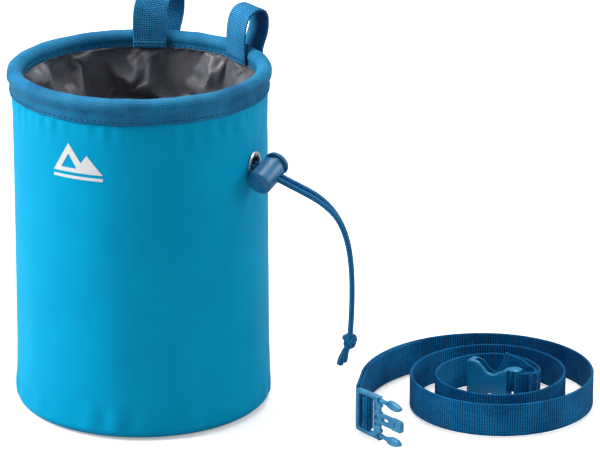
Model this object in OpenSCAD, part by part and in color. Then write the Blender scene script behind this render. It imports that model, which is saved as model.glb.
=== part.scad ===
// Climber's chalk bag with its drawcord, cord lock and coiled waist belt.
// Millimetres, +Z up. The origin is the centre of the bag's base, where it meets the ground.
// The bag's front faces -Y, its two belt loops stand at +Y and its drawcord leaves at +X.

/* [Bag] */
// Outside diameter of the bag's wall
body_d = 122; // [110:1:135]
// Height of the bag from the ground to the top of the rim
bag_h = 168; // [150:1:180]
// Radius of the rounded bottom edge
base_edge_r = 4; // [3:0.5:5]
// Diameter of the padded roll round the rim
rim_roll_d = 7.4; // [6.8:0.1:8]
// Height of the drawcord's channel and its eyelet above the ground
neck_z = 127; // [115:1:132]

/* [Belt loops] */
// Width of all the webbing, on the loops and on the belt
web_w = 16.5; // [15:0.5:17]
// Thickness of the loop webbing
loop_t = 1.3; // [1:0.1:1.5]
// Height of a loop above the top of the rim
loop_h = 19; // [15:1:24]
// Angle from the bag's back to each loop
loop_angle = 27; // [20:1:35]

/* [Drawcord] */
// Diameter of the drawcord
cord_d = 2.6; // [2.2:0.1:2.7]
// Slope of the cord where it leaves the eyelet
cord_slope = 19; // [16:1:21]
// Radius of the cord lock's barrel
lock_r = 6.2; // [6:0.1:6.6]
// Travel of the cord lock's plunger
plunger_travel = 2.5; // [2:0.5:3]

/* [Belt] */
// Thickness of the belt webbing
belt_t = 1.3; // [1:0.1:1.4]
// Direction from the bag to the coiled belt
belt_turn = 29; // [0:1:60]
// Distance from the bag's axis to the middle of the coil
belt_reach = 165; // [160:1:200]
// Radius of the coil's outer turn
coil_r0 = 52; // [50:1:56]

/* [Hidden] */
$fn = 48;

// The gap left between layers that lie against each other
gap = 0.1;

// Wall layers, from the outside in
body_r = body_d / 2;
shell_t = 0.9;
foam_t = 1.8;
lining_t = 0.6;
base_t = 1;
foam_r = body_r - shell_t - gap;
inner_bag_r = foam_r - foam_t - gap;
base_panel_r = body_r - base_edge_r;

// Rim, whose roll is centred over the wall
roll_r = rim_roll_d / 2;
roll_centre_r = body_r - 1.6;
roll_z = bag_h - roll_r;
binding_t = 0.6;
hoop_r = 1.1;
band_outer_h = 5.6;
band_inner_h = 1.6;
wall_top = roll_z - roll_r * 0.86;
stitch_r = 0.28;
stitch_len = 2.3;
stitch_count = 120;
band_z = roll_z - roll_r - band_outer_h + 1;

// The pair of loops sits slightly off the bag's back
loop_turn = -3.5;

// Neck, where the collar meets the channel and the inner bag hangs from it
channel_r = 2.3;
channel_t = 0.5;
neck_r = inner_bag_r - channel_r - 1.6;
cord_r = cord_d / 2;
collar_top_r = roll_centre_r - roll_r - 0.4;

// Eyelet on the bag's right side
eyelet_bore_r = 3.6;
eyelet_barrel_t = 0.4;
eyelet_flange_r = 5.8;

lock_roll = 24;

// Both strands leave the eyelet and slope down together, side by side along the cord lock's barrel
cord_out = [cos(cord_slope), 0, -sin(cord_slope)];
barrel_axis = [sin(lock_roll) * sin(cord_slope), cos(lock_roll), sin(lock_roll) * cos(cord_slope)];
strand_offset = (cord_r + 0.05) * barrel_axis;
cord_start = [body_r + 1.5, 0, neck_z - 1.2];
straight_len = 27;
knot_r = 3.9;
tail_end_len = 8;

// Cord lock, measured along its own barrel from the closed end
lock_len = 14;
lock_at = 6.8;
lock_bore_r = 4.7;
lock_floor = 1.6;
cord_hole_y = 10.3;
cord_hole_w = 4 * cord_r + 0.5;
cord_hole_h = 2 * cord_r + 0.3;
head_h = 3;
head_gap = plunger_travel + 0.2;
stem_r = lock_bore_r - 0.08;
stem_back = lock_floor + plunger_travel + 1.4;
spring_wire_r = 0.3;
spring_r = 2.6;
spring_turns = 4;

// The coil narrows steadily, swings from side to side and flares out at its free end
coil_start = 189;
coil_sweep = 918;
coil_tighten = 12.5;
coil_wobble = 7.5;
coil_wobble_at = 235;
coil_flare = 12.5;
coil_flare_len = 80;
coil_step = 9;
coil_centre_y = -14.5;
layer = belt_t / 2 + gap;

// Side-release buckle, both halves, each along its own +X from webbing to mating end
frame_h = web_w + 5.6;
frame_taper = 0.5;
frame_t = 2.6;
frame_len = 17.8;
frame_rise = 0.8;
outer_bar = 2.4;
mid_bar_x = 7.6;
mid_bar_r = 1.2;
slot_end = 13.1;
slot_h = web_w + 0.8;
tongue_len = 16;
tongue_h = 5.4;
tongue_slot = 2;
prong_root_z = frame_h / 2 - 2.1;
prong_root_r = 1.5;
prong_len = 14.5;
prong_arm = 1.7;
prong_clear = 0.05;
female_len = 27;
female_h = frame_h - 0.7;
female_t = 6.4;
female_bar_r = 1.15;
female_slot_end = 5.2;
female_skin = 1.1;
female_side = 0.8;
female_rail = 2.05;
female_taper = 1.25;
mouth_h = female_h - 2 * female_side;
mouth_neck_x = 12;
mouth_neck_h = 17.2;
catch_x = 23.1;
catch_window_t = 3.2;
male_lift = frame_h / 2 + frame_rise - web_w / 2;
female_lift = female_h / 2 - web_w / 2;

// ---------------------------------------------------------------- shared functions

function turned(p, a) = [p[0] * cos(a) - p[1] * sin(a), p[0] * sin(a) + p[1] * cos(a)];
function heading(a, b) = atan2(b[1] - a[1], b[0] - a[0]);
function reversed(list) = [for (i = [len(list) - 1:-1:0]) list[i]];
function smooth(t) = let (c = max(0, min(1, t))) c * c * (3 - 2 * c);
function bezier(p, t) = pow(1 - t, 3) * p[0] + 3 * t * pow(1 - t, 2) * p[1]
    + 3 * t * t * (1 - t) * p[2] + pow(t, 3) * p[3];

// Points on a circle about c, from angle a0 to a1
function arc(c, r, a0, a1, steps) =
    [for (i = [0:steps]) let (a = a0 + (a1 - a0) * i / steps) c + r * [cos(a), sin(a)]];

// A round bar or cord through a list of points
module tube_path(points, r, facets = 10) {
    for (i = [0:len(points) - 2])
        hull() {
            translate(points[i]) sphere(r, $fn = facets);
            translate(points[i + 1]) sphere(r, $fn = facets);
        }
}

// A ring about the Z axis, whose section is drawn with its centre at the origin
module ring(centre_r, z) {
    translate([0, 0, z]) rotate_extrude() translate([centre_r, 0]) children();
}

// ---------------------------------------------------------------- bag wall

// Wall outline with a rounded bottom edge, r_out outside and t thick, standing on z0
module wall_section(r_out, t, z0, z1, edge) {
    translate([r_out - t, z0 + edge]) square([t, z1 - z0 - edge]);
    intersection() {
        translate([r_out - edge, z0 + edge]) difference() {
            circle(edge);
            circle(edge - t);
        }
        translate([r_out - edge, z0]) square([edge, edge]);
    }
}

module eyelet_hole(r) {
    translate([body_r - 12, 0, neck_z]) rotate([0, 90, 0]) cylinder(r = r, h = 20);
}

module outer_shell() {
    color("deepskyblue") difference() {
        rotate_extrude() wall_section(body_r, shell_t, 0, wall_top, base_edge_r);
        eyelet_hole(eyelet_bore_r + eyelet_barrel_t + gap);
    }
}

module base_panel() {
    color("deepskyblue") cylinder(r = base_panel_r - gap, h = base_t);
}

module wall_foam() {
    color("lightgray") difference() {
        translate([0, 0, base_edge_r])
            cylinder(r = foam_r, h = wall_top - base_edge_r);
        translate([0, 0, base_edge_r - 1])
            cylinder(r = foam_r - foam_t, h = wall_top);
        eyelet_hole(eyelet_bore_r + eyelet_barrel_t + gap);
    }
}

module base_foam() {
    color("lightgray") translate([0, 0, base_t + gap])
        cylinder(r = base_panel_r - 1, h = 2);
}

// Printed badge: two plain peaks over a ground line, on the front of the wall
print_z = 131;
print_w = 26;
module front_print() {
    color("whitesmoke") intersection() {
        difference() {
            cylinder(r = body_r + 0.25, h = bag_h);
            translate([0, 0, -1]) cylinder(r = body_r + 0.05, h = bag_h + 2);
        }
        translate([0, 0, print_z]) rotate([90, 0, 0]) linear_extrude(body_r + 5) {
            difference() {
                polygon([[-print_w / 2, 0], [-print_w / 6, 14], [print_w / 12, 5],
                    [print_w / 5, 9], [print_w / 2, 0]]);
                polygon([[-print_w / 3, 2], [-print_w / 6, 9], [0, 2]]);
            }
            translate([-print_w / 2, -3]) square([print_w, 1.4]);
        }
    }
}

// ---------------------------------------------------------------- rim

module rim_hoop() {
    color("silver") ring(roll_centre_r, roll_z) circle(hoop_r);
}

// Foam tube, slit along its underside to go over the hoop
module rim_padding() {
    color("lightgray") ring(roll_centre_r, roll_z) difference() {
        circle(roll_r - binding_t - gap);
        circle(hoop_r + gap);
        translate([-0.4, -roll_r]) square([0.8, roll_r]);
    }
}

// Wide tape folded over the roll, with a band down each side of the wall
module rim_binding() {
    neck_half = (body_r + gap - roll_centre_r);
    color("steelblue") ring(roll_centre_r, roll_z) {
        difference() {
            circle(roll_r);
            circle(roll_r - binding_t);
            translate([-neck_half, -roll_r - 1]) square([2 * neck_half, roll_r]);
        }
        translate([neck_half, -roll_r - band_outer_h + 1])
            square([binding_t + 0.2, band_outer_h + 0.2]);
        translate([-neck_half - binding_t - 0.9, -roll_r - band_inner_h + 1])
            square([binding_t, band_inner_h + 0.6]);
    }
}

module rim_stitching() {
    color("steelblue") for (i = [0:stitch_count - 1])
        rotate([0, 0, i * 360 / stitch_count])
            translate([body_r + gap + binding_t + 0.2 + gap + stitch_r, 0, band_z + 1.2])
                rotate([90, 0, 0])
                    cylinder(r = stitch_r, h = stitch_len, center = true);
}

// ---------------------------------------------------------------- lining and neck

module lining_collar() {
    top = leg_foot_z - gap;
    bottom = neck_z + channel_r + gap;
    foot_r = neck_r + 0.4;
    color("dimgray") rotate_extrude() polygon([
        [collar_top_r + 0.1, top], [collar_top_r + 0.1 + lining_t, top],
        [foot_r + lining_t, bottom], [foot_r, bottom]]);
}

// Sewn tube that carries the drawcord round the neck, open where the cord leaves
module neck_channel() {
    color("dimgray") difference() {
        ring(neck_r, neck_z) difference() {
            circle(channel_r);
            circle(channel_r - channel_t);
        }
        translate([neck_r, 0, neck_z]) cube([4 * channel_r, 24, 3 * channel_r], center = true);
    }
}

module inner_bag() {
    shoulder = neck_z - channel_r - 5 * gap;
    floor_z = base_t + gap + 2 + gap;
    color("gray") rotate_extrude() polygon([
        [neck_r - 0.4, shoulder], [neck_r + lining_t - 0.2, shoulder],
        [inner_bag_r, shoulder - 14], [inner_bag_r, floor_z + 4],
        [inner_bag_r - 4, floor_z],
        [inner_bag_r - 4 - lining_t, floor_z],
        [inner_bag_r - lining_t, floor_z + 4], [inner_bag_r - lining_t, shoulder - 14]]);
}

module inner_base() {
    color("gray") translate([0, 0, base_t + 2 * gap + 2])
        cylinder(r = inner_bag_r - 4 - lining_t - gap, h = lining_t);
}

// ---------------------------------------------------------------- belt loops

// Centre lines of the two legs, either side of the rim roll
leg_in = roll_centre_r - roll_r - 0.8 - loop_t / 2;
leg_out = roll_centre_r + roll_r + 0.3 + loop_t / 2;
leg_foot_z = roll_z - roll_r - band_inner_h + 1.2;

// The webbing bows out over the rim into a drop-shaped loop
loop_top = [(leg_in + leg_out) / 2 + 3.4, bag_h + loop_h - loop_t / 2];
loop_bow = [leg_out + 3.4, bag_h + loop_h * 0.5];
loop_line = concat([[leg_in, leg_foot_z]],
    [for (t = [0:0.125:1]) bezier([[leg_in, roll_z + 1], [leg_in - 0.8, bag_h + loop_h * 0.55],
        loop_top - [7, 0], loop_top], t)],
    [for (t = [0.125:0.125:1]) bezier([loop_top, loop_top + [5, 0], loop_bow + [0.3, 5], loop_bow], t)],
    [for (t = [0.125:0.125:1]) bezier([loop_bow, loop_bow - [0.3, 5], [leg_out, roll_z + 5], [leg_out, roll_z]], t)],
    [[leg_out, leg_foot_z]]);

// A strip of the given thickness along a list of points
module strip(points, thick) {
    n = len(points);
    side = [for (i = [0:n - 1])
        turned([0, thick / 2], heading(points[max(0, i - 1)], points[min(n - 1, i + 1)]))];
    polygon(concat([for (i = [0:n - 1]) points[i] + side[i]],
        [for (i = [n - 1:-1:0]) points[i] - side[i]]));
}

// The left loop is sewn on with a twist: its outer leg stands aside of its inner one
left_skew = 0.6;
function loop_aside(side, x) = side > 0 ? -left_skew * (x - leg_in) : 0;

// Each loop's place, with +X pointing outwards from the bag's axis
module loop_place(side) {
    rotate([0, 0, 90 + loop_turn + side * loop_angle]) children();
}

module belt_loop(side) {
    skew = side > 0 ? left_skew : 0;
    color("steelblue") loop_place(side)
        multmatrix([[1, 0, 0, 0], [-skew, 1, 0, skew * leg_in], [0, 0, 1, 0], [0, 0, 0, 1]])
            rotate([90, 0, 0]) linear_extrude(web_w, center = true) strip(loop_line, loop_t);
}

// Bar tacks across the foot of each leg
module loop_stitching() {
    rows = 9;
    color("steelblue") for (side = [-1, 1], leg = [-1, 1], i = [0:rows - 1]) {
        face = leg < 0 ? leg_in - loop_t / 2 - gap - stitch_r : leg_out + loop_t / 2 + gap + stitch_r;
        across = (i - (rows - 1) / 2) * (web_w - 2) / (rows - 1) + loop_aside(side, face);
        loop_place(side) translate([face, across, leg_foot_z + 2])
            rotate([i % 2 == 0 ? 20 : -20, 0, 0])
                cylinder(r = stitch_r, h = 2.4, center = true);
    }
}

// ---------------------------------------------------------------- eyelet

module eyelet_face() {
    inside = foam_r - foam_t - 0.5;
    color("silver") translate([0, 0, neck_z]) rotate([0, 90, 0]) difference() {
        union() {
            translate([0, 0, inside - 1]) cylinder(r = eyelet_bore_r + eyelet_barrel_t, h = body_r + 0.3 - inside + 1);
            translate([0, 0, body_r + 0.1]) cylinder(r1 = eyelet_flange_r, r2 = eyelet_flange_r - 0.9, h = 0.8);
        }
        translate([0, 0, inside - 2]) cylinder(r = eyelet_bore_r, h = 10);
    }
}

module eyelet_washer() {
    color("silver") translate([foam_r - foam_t - 1.3, 0, neck_z]) rotate([0, 90, 0]) difference() {
        cylinder(r = eyelet_flange_r - 0.4, h = 0.6);
        translate([0, 0, -1]) cylinder(r = eyelet_bore_r + eyelet_barrel_t + 0.05, h = 3);
    }
}

// ---------------------------------------------------------------- drawcord

// The cord turns out of its channel through the wall, one strand each side of the eyelet's axis
function lead_out(side) = [for (i = [0:8]) bezier([
    [neck_r * cos(14), side * neck_r * sin(14), neck_z],
    [neck_r - 0.7, side * 3.5, neck_z],
    [neck_r - 3.7, 0, neck_z - 1] + side * strand_offset,
    cord_start + side * strand_offset], i / 8)];

module drawcord_ring() {
    ring_steps = 60;
    ring_points = [for (i = [0:ring_steps]) let (a = 14 + (360 - 28) * i / ring_steps)
        [neck_r * cos(a), neck_r * sin(a), neck_z]];
    color("steelblue") {
        tube_path(ring_points, cord_r);
        for (side = [-1, 1]) tube_path(lead_out(side), cord_r);
    }
}

// A round cord that turns only about Y, through a list of points, with flat ends
module hanging_cord(points, r, facets = 10) {
    n = len(points);
    corners = [for (i = [0:n - 1])
        let (d = points[min(n - 1, i + 1)] - points[max(0, i - 1)], out = [-d[2], 0, d[0]] / norm([d[2], d[0]]))
        for (k = [0:facets - 1])
            let (a = 360 * k / facets) points[i] + r * (cos(a) * out + [0, sin(a), 0])];
    walls = [for (i = [0:n - 2], k = [0:facets - 1])
        let (a = facets * i + k, b = facets * i + (k + 1) % facets)
        each [[a, b, b + facets], [a, b + facets, a + facets]]];
    first_end = [for (k = [1:facets - 2]) [0, k + 1, k]];
    base = facets * (n - 1);
    last_end = [for (k = [1:facets - 2]) [base, base + k, base + k + 1]];
    polyhedron(corners, concat(first_end, walls, last_end));
}

// Straight through the cord lock, then bending over to hang down to the knot
strand_end = cord_start + straight_len * cord_out;
knot_centre = strand_end + [23.5, 0, -71];
knot_stretch = 1.3;
strand_apart = (cord_r + 0.25) * [-sin(26), cos(26), 0];
function strand(side) = concat(
    [cord_start + side * strand_offset + (2 * cord_r + gap) * cord_out],
    [for (i = [0:12]) let (p = bezier([strand_end, strand_end + 22 * cord_out,
            knot_centre + [4, 0, 52], knot_centre], i / 12), t = smooth(i / 5))
        p + side * ((1 - t) * strand_offset + t * strand_apart)]);
function free_end(side) = [for (t = [0:0.5:1]) knot_centre
    + [-4 * t, side * (cord_r + 0.2 + 0.8 * t), -(knot_r + tail_end_len) * t]];

module drawcord_tail() {
    color("steelblue") {
        for (side = [-1, 1]) {
            hanging_cord(strand(side), cord_r);
            hanging_cord(free_end(side), cord_r);
        }
        translate(knot_centre) scale([1, 1, knot_stretch]) sphere(knot_r, $fn = 16);
    }
}

// ---------------------------------------------------------------- cord lock

// The barrel's frame: +Y along the barrel towards the button, +X along the cord
module lock_frame() {
    translate(cord_start + lock_at * cord_out) rotate([0, cord_slope, 0]) rotate([lock_roll, 0, 0])
        translate([0, -cord_hole_y, 0]) children();
}

// A slot through the barrel, wide enough for both strands
module cord_slot(from_y, to_y) {
    translate([-10, from_y, -cord_hole_h / 2]) cube([20, to_y - from_y, cord_hole_h]);
}

module lock_barrel() {
    edge = 1.2;
    color("steelblue") lock_frame() difference() {
        rotate([-90, 0, 0]) rotate_extrude() {
            translate([0, edge]) square([lock_r, lock_len - edge]);
            square([lock_r - edge, edge]);
            translate([lock_r - edge, edge]) circle(edge);
        }
        translate([0, lock_floor, 0]) rotate([-90, 0, 0]) cylinder(r = lock_bore_r, h = lock_len);
        cord_slot(cord_hole_y - cord_hole_w / 2, cord_hole_y + cord_hole_w / 2);
    }
}

module lock_plunger() {
    head_y = lock_len + head_gap;
    color("steelblue") lock_frame() difference() {
        union() {
            translate([0, stem_back, 0]) rotate([-90, 0, 0]) cylinder(r = stem_r, h = head_y - stem_back);
            translate([0, head_y, 0]) rotate([-90, 0, 0]) cylinder(r1 = lock_r, r2 = lock_r - 1.4, h = head_h);
        }
        cord_slot(cord_hole_y - cord_hole_w / 2, cord_hole_y + cord_hole_w / 2 + plunger_travel);
    }
}

module lock_spring() {
    steps = 12 * spring_turns;
    rise = stem_back - lock_floor - 2 * spring_wire_r - 0.2;
    points = [for (i = [0:steps]) [spring_r * cos(30 * i),
        lock_floor + spring_wire_r + 0.1 + rise * i / steps, spring_r * sin(30 * i)]];
    color("silver") lock_frame() tube_path(points, spring_wire_r, 6);
}

// ---------------------------------------------------------------- waist belt

// The coil is drawn about its own middle and then laid beside the bag
module belt_place() {
    rotate([0, 0, belt_turn]) translate([belt_reach, coil_centre_y, 0]) children();
}

function coil_radius(s) = coil_r0 - coil_tighten * s / 360
    + coil_wobble * cos(s - coil_wobble_at) + coil_flare * exp(-s / coil_flare_len);
function coil_point(s) = coil_radius(s) * [cos(coil_start - s), sin(coil_start - s)];

// The lead at each end of the coil, from a point and heading: straight, then an arc of radius r through angle a
function after_arc(p, h, r, a, steps) = let (side = sign(a), c = p + turned([0, side * r], h))
    [for (i = [1:steps]) c + turned([0, -side * r], h + a * i / steps)];

male_lead_len = 21.5;
male_lead_r = 12;
male_lead_turn = 44;
coil_first = coil_point(0);
first_heading = heading(coil_point(2), coil_first);
male_bend = coil_first + turned([male_lead_len, 0], first_heading);
male_arc = after_arc(male_bend, first_heading, male_lead_r, male_lead_turn, 4);
male_heading = first_heading + male_lead_turn;
male_gap = 1.5;
male_back = 3.5;
male_guide = male_arc[3] + turned([male_gap, 0], male_heading);

female_lead_r = 5.6;
female_heading = 148;
coil_last = coil_point(coil_sweep);
last_heading = heading(coil_point(coil_sweep - 2), coil_last);
female_bend = coil_last + turned([5, 0], last_heading);
female_turn = female_heading - 360 - last_heading;
female_arc = after_arc(female_bend, last_heading, female_lead_r, female_turn, 8);
female_gap = 1.2;
female_guide = female_arc[7] + turned([female_gap, 0], female_heading);

// The line between the belt's two layers, from the male buckle to the female one
guide = concat([male_guide], reversed(male_arc), [male_bend],
    [for (s = [0:coil_step:coil_sweep]) coil_point(s)], [female_bend], female_arc, [female_guide]);

// A point of the guide moved sideways: +1 is the coil's inside
function guide_heading(i) = heading(guide[max(0, i - 1)], guide[min(len(guide) - 1, i + 1)]);
function beside(i, off) = guide[i] + turned([0, -off], guide_heading(i));

// Height of the webbing's middle, which rises to meet each buckle
function lift_at(i) = let (male = norm(guide[i] - guide[0]), female = norm(guide[i] - guide[len(guide) - 1]))
    web_w / 2 + (i < len(guide) / 2 ? male_lift * smooth(1 - (male - 8) / 26)
        : (i > len(guide) - 14 ? female_lift * smooth(1 - (female - 3) / 18) : 0));

tail_stations = 13;
fold_stations = 8;

// The male buckle's place: +X towards its prongs, +Y towards the coil's inside, where the webbing lies
male_plane = frame_t / 2 + gap + belt_t / 2 + layer + 0.1;
module male_place() {
    belt_place() translate([male_guide[0], male_guide[1], frame_h / 2 + frame_rise])
        rotate([0, 0, male_heading]) translate([-male_back, -male_plane, 0]) children();
}
function male_xy(p) = male_guide + turned(p + [-male_back, -male_plane], male_heading);

// The free tail comes down through the second slot, round the middle bar and out through the first
wrap_r = mid_bar_r + gap + belt_t / 2;
near_y = male_plane - layer;
rise_r = 1.25;
male_wrap = [for (p = concat([[mid_bar_x - 1.4, male_plane + layer]],
    arc([mid_bar_x, 0], wrap_r, 55, -195, 12),
    arc([mid_bar_x - 2 - rise_r, near_y - rise_r], rise_r, 15, 90, 3))) male_xy(p)];

// The female buckle's place: +X towards its mouth, with its bar at the end of the guide
module female_place() {
    belt_place() translate([female_guide[0], female_guide[1], female_h / 2])
        rotate([0, 0, female_heading]) children();
}
female_wrap_r = female_bar_r + gap + belt_t / 2;
function spread(i) = layer + (female_wrap_r - layer)
    * smooth(1 - (len(guide) - 1 - i) / 3);
last = len(guide) - 1;
female_wrap = [for (p = arc([0, 0], female_wrap_r, 90, -90, 8)) female_guide + turned(p, female_heading)];

function raised(points, z) = [for (p = points) [p[0], p[1], z]];
function layer_points(from, to, side) = [for (i = [from:to])
    let (p = beside(i, side * spread(i))) [p[0], p[1], lift_at(i)]];

// The loose end leaves the fold and rises behind the female buckle: [along it, aside, up]
loose_end = [[-4.5, -8.9, 0.1], [-2.6, -10.1, 0.4], [0.8, -10.6, 1.1], [5.2, -10.2, 2.3],
    [9.8, -9.7, 3.7], [15, -9.4, 5.3]];
loose_line = [for (p = loose_end) let (q = female_guide + turned([p[0], p[1]], female_heading))
    [q[0], q[1], lift_at(last - fold_stations - 1) + p[2]]];

belt_line = concat(
    reversed(layer_points(0, tail_stations, 1)),
    raised(male_wrap, web_w / 2 + male_lift),
    layer_points(0, last - 1, -1),
    raised(female_wrap, web_w / 2 + female_lift),
    reversed(layer_points(last - fold_stations, last - 1, 1)),
    loose_line);

// A flat strap through a list of points, standing on its edge
module ribbon(points, thick, wide) {
    n = len(points);
    corners = [for (i = [0:n - 1])
        let (side = turned([0, thick / 2], heading(points[max(0, i - 1)], points[min(n - 1, i + 1)])))
        for (c = [[1, 1], [1, -1], [-1, -1], [-1, 1]])
            points[i] + [c[0] * side[0], c[0] * side[1], c[1] * wide / 2]];
    walls = [for (i = [0:n - 2], k = [0:3])
        let (a = 4 * i + k, b = 4 * i + (k + 1) % 4)
        each [[a, b, b + 4], [a, b + 4, a + 4]]];
    end = 4 * (n - 1);
    polyhedron(corners, concat([[3, 2, 1], [3, 1, 0]], walls,
        [[end, end + 1, end + 2], [end, end + 2, end + 3]]));
}

module belt_webbing() {
    color("steelblue") belt_place() ribbon(belt_line, belt_t, web_w);
}

// Two bar tacks hold the fold shut behind the female buckle
module belt_stitching() {
    rows = 9;
    color("steelblue") belt_place() for (i = [last - 6, last - 4], side = [-1, 1], row = [0:rows - 1]) {
        p = beside(i, side * (spread(i) + belt_t / 2 + stitch_r + 2 * gap));
        translate([p[0], p[1], lift_at(i) + (row - (rows - 1) / 2) * (web_w - 2) / (rows - 1)])
            rotate([0, 0, guide_heading(i)]) rotate([0, row % 2 == 0 ? 70 : 110, 0])
                cylinder(r = stitch_r, h = 2, center = true);
    }
}

// ---------------------------------------------------------------- buckles

// Stands a flat outline, drawn with its height along Y, upright and t thick about its middle
module upright(t) {
    rotate([90, 0, 0]) linear_extrude(t, center = true) children();
}

module frame_outline() {
    corner = 1.4;
    half = frame_h / 2;
    low = half - frame_taper;
    difference() {
        polygon([[0, corner - low], [corner, -low], [frame_len, -half], [frame_len, half],
            [corner, low], [0, low - corner]]);
        for (side = [-1, 1]) {
            translate([frame_len, side * prong_root_z]) circle(prong_root_r + prong_clear);
            translate([frame_len + 0.6, side * (tongue_h / 2 + 1.6)]) circle(1.5);
        }
        translate([slot_end + 2.2, 0]) circle(1.1);
    }
}

module tongue_outline() {
    translate([frame_len - 0.5, -tongue_h / 2]) difference() {
        square([tongue_len, tongue_h]);
        translate([1.8, (tongue_h - tongue_slot) / 2]) square([4.6, tongue_slot]);
    }
    translate([frame_len + tongue_len - 7, -tongue_h / 2 - 0.3]) square([6.5, tongue_h + 0.6]);
}

module buckle_male_frame() {
    color("steelblue") male_place() {
        difference() {
            upright(frame_t) frame_outline();
            translate([outer_bar, -frame_t, -slot_h / 2]) cube([slot_end - outer_bar, 2 * frame_t, slot_h]);
        }
        translate([mid_bar_x, 0, -slot_h / 2 - 0.5]) cylinder(r = mid_bar_r, h = slot_h + 1);
        upright(frame_t - 0.4) tongue_outline();
    }
}

// A springy arm with a leaf-shaped head: round root, thin arm, steep shoulder, long sloped nose
module prong_outline() {
    circle(prong_root_r);
    polygon([[0, -prong_arm / 2], [prong_len * 0.3, -prong_arm / 2], [prong_len * 0.48, -1.9],
        [prong_len * 0.68, -2.2], [prong_len * 0.9, -1.7], [prong_len, -0.6], [prong_len, 0.6],
        [prong_len * 0.82, 1.7], [prong_len * 0.55, 2.3], [prong_len * 0.4, 2.1],
        [prong_len * 0.3, prong_arm / 2], [0, prong_arm / 2]]);
}

module prong(side) {
    color("steelblue") male_place() translate([frame_len, 0, side * prong_root_z])
        upright(frame_t - 0.2) scale([1, side, 1]) prong_outline();
}

module female_outline() {
    half = female_h / 2;
    cut_x = female_len * 0.56;
    difference() {
        polygon([[-female_bar_r, 1 + female_taper - half], [1 - female_bar_r, female_taper - half],
            [female_len - 2, -half],
            [female_len, 1.4 - half], [female_len, half - 1.4], [female_len - 2, half],
            [1 - female_bar_r, half - female_taper], [-female_bar_r, half - female_taper - 1]]);
        for (side = [-1, 1]) translate([cut_x, side * (half + 0.9)]) circle(6.2);
    }
}

// The mouth takes both prongs squeezed in; each head then springs out behind the catch at its side window
module female_mouth() {
    inside_t = female_t - 2 * female_skin;
    inner_end = female_slot_end + 1.6;
    window_x = female_len * 0.56;
    translate([mouth_neck_x, -inside_t / 2, -mouth_h / 2]) cube([female_len, inside_t, mouth_h]);
    translate([inner_end, -inside_t / 2, -mouth_neck_h / 2]) cube([female_len, inside_t, mouth_neck_h]);
    translate([window_x, -catch_window_t / 2, -female_h])
        cube([catch_x - window_x, catch_window_t, 2 * female_h]);
}

module buckle_female() {
    half = female_h / 2;
    color("steelblue") female_place() {
        difference() {
            upright(female_t) female_outline();
            translate([-5, -female_t, female_rail - half])
                cube([female_slot_end + 5, 2 * female_t, female_h - 2 * female_rail]);
            female_mouth();
        }
        translate([0, 0, female_rail - 0.3 - half])
            cylinder(r = female_bar_r, h = female_h - 2 * female_rail + 0.6);
    }
}

outer_shell();
base_panel();
wall_foam();
base_foam();
front_print();
rim_hoop();
rim_padding();
rim_binding();
rim_stitching();
lining_collar();
neck_channel();
inner_bag();
inner_base();
belt_loop(1);  // belt_loop_left
belt_loop(-1);  // belt_loop_right
loop_stitching();
eyelet_face();
eyelet_washer();
drawcord_ring();
drawcord_tail();
lock_barrel();
lock_plunger();
lock_spring();
belt_webbing();
belt_stitching();
buckle_male_frame();
prong(1);  // buckle_prong_upper
prong(-1);  // buckle_prong_lower
buckle_female();
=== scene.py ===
"""Looks of a climber's chalk bag with its drawcord, cord lock and coiled waist belt.

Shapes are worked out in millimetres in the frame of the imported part.
They are scaled to metres when a piece is made.
+Z is up, the bag stands at the origin with its front towards -Y, and its drawcord leaves at +X.
"""

import cmath
import math

import bmesh
import bpy
import numpy as np
from mathutils import Matrix, Vector


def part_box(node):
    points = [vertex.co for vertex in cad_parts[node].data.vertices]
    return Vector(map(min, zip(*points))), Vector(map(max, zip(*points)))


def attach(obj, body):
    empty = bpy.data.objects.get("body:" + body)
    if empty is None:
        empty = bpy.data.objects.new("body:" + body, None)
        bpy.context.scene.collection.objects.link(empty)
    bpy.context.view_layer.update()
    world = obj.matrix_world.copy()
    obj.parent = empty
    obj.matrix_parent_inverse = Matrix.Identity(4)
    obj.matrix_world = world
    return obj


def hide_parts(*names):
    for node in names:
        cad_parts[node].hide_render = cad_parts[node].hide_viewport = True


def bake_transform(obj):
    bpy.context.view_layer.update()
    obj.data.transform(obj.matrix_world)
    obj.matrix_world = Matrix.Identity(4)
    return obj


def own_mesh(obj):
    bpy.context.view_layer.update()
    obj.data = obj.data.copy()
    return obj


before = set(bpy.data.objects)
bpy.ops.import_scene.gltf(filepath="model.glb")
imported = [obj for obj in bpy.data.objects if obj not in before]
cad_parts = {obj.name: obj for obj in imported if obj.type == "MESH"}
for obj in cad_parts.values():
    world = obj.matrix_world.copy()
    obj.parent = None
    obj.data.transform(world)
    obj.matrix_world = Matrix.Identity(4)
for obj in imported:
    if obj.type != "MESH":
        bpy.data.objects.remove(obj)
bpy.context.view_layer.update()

MM = 0.001
TAU = 2 * math.pi

# ---------------------------------------------------------------- sizes shared with the CAD part, in mm

BODY_R = 61.0
BAG_H = 168.0
EDGE_R = 4.0
ROLL_R = 3.7
ROLL_CENTRE_R = BODY_R - 1.6
ROLL_Z = BAG_H - ROLL_R
BAND_Z = ROLL_Z - ROLL_R - 4.6
INNER_BAG_R = 58.1
TAPE_T = 0.6
NECK_Z = 127.0
NECK_R = INNER_BAG_R - 3.9
WEB_W = 16.5
WEB_T = 1.3
LOOP_T = 1.3
LOOP_H = 19.0
CORD_R = 1.3
CORD_SLOPE = math.radians(19)
LOCK_ROLL = math.radians(24)
LOCK_R = 6.2
LOCK_LEN = 14.0
LOCK_AT = 6.8
LOCK_PRESS = 2.5
CORD_HOLE_Y = 10.3
CORD_SLOT_HALF = 2.85

# ---------------------------------------------------------------- sizes of the looks alone, in mm

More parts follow.
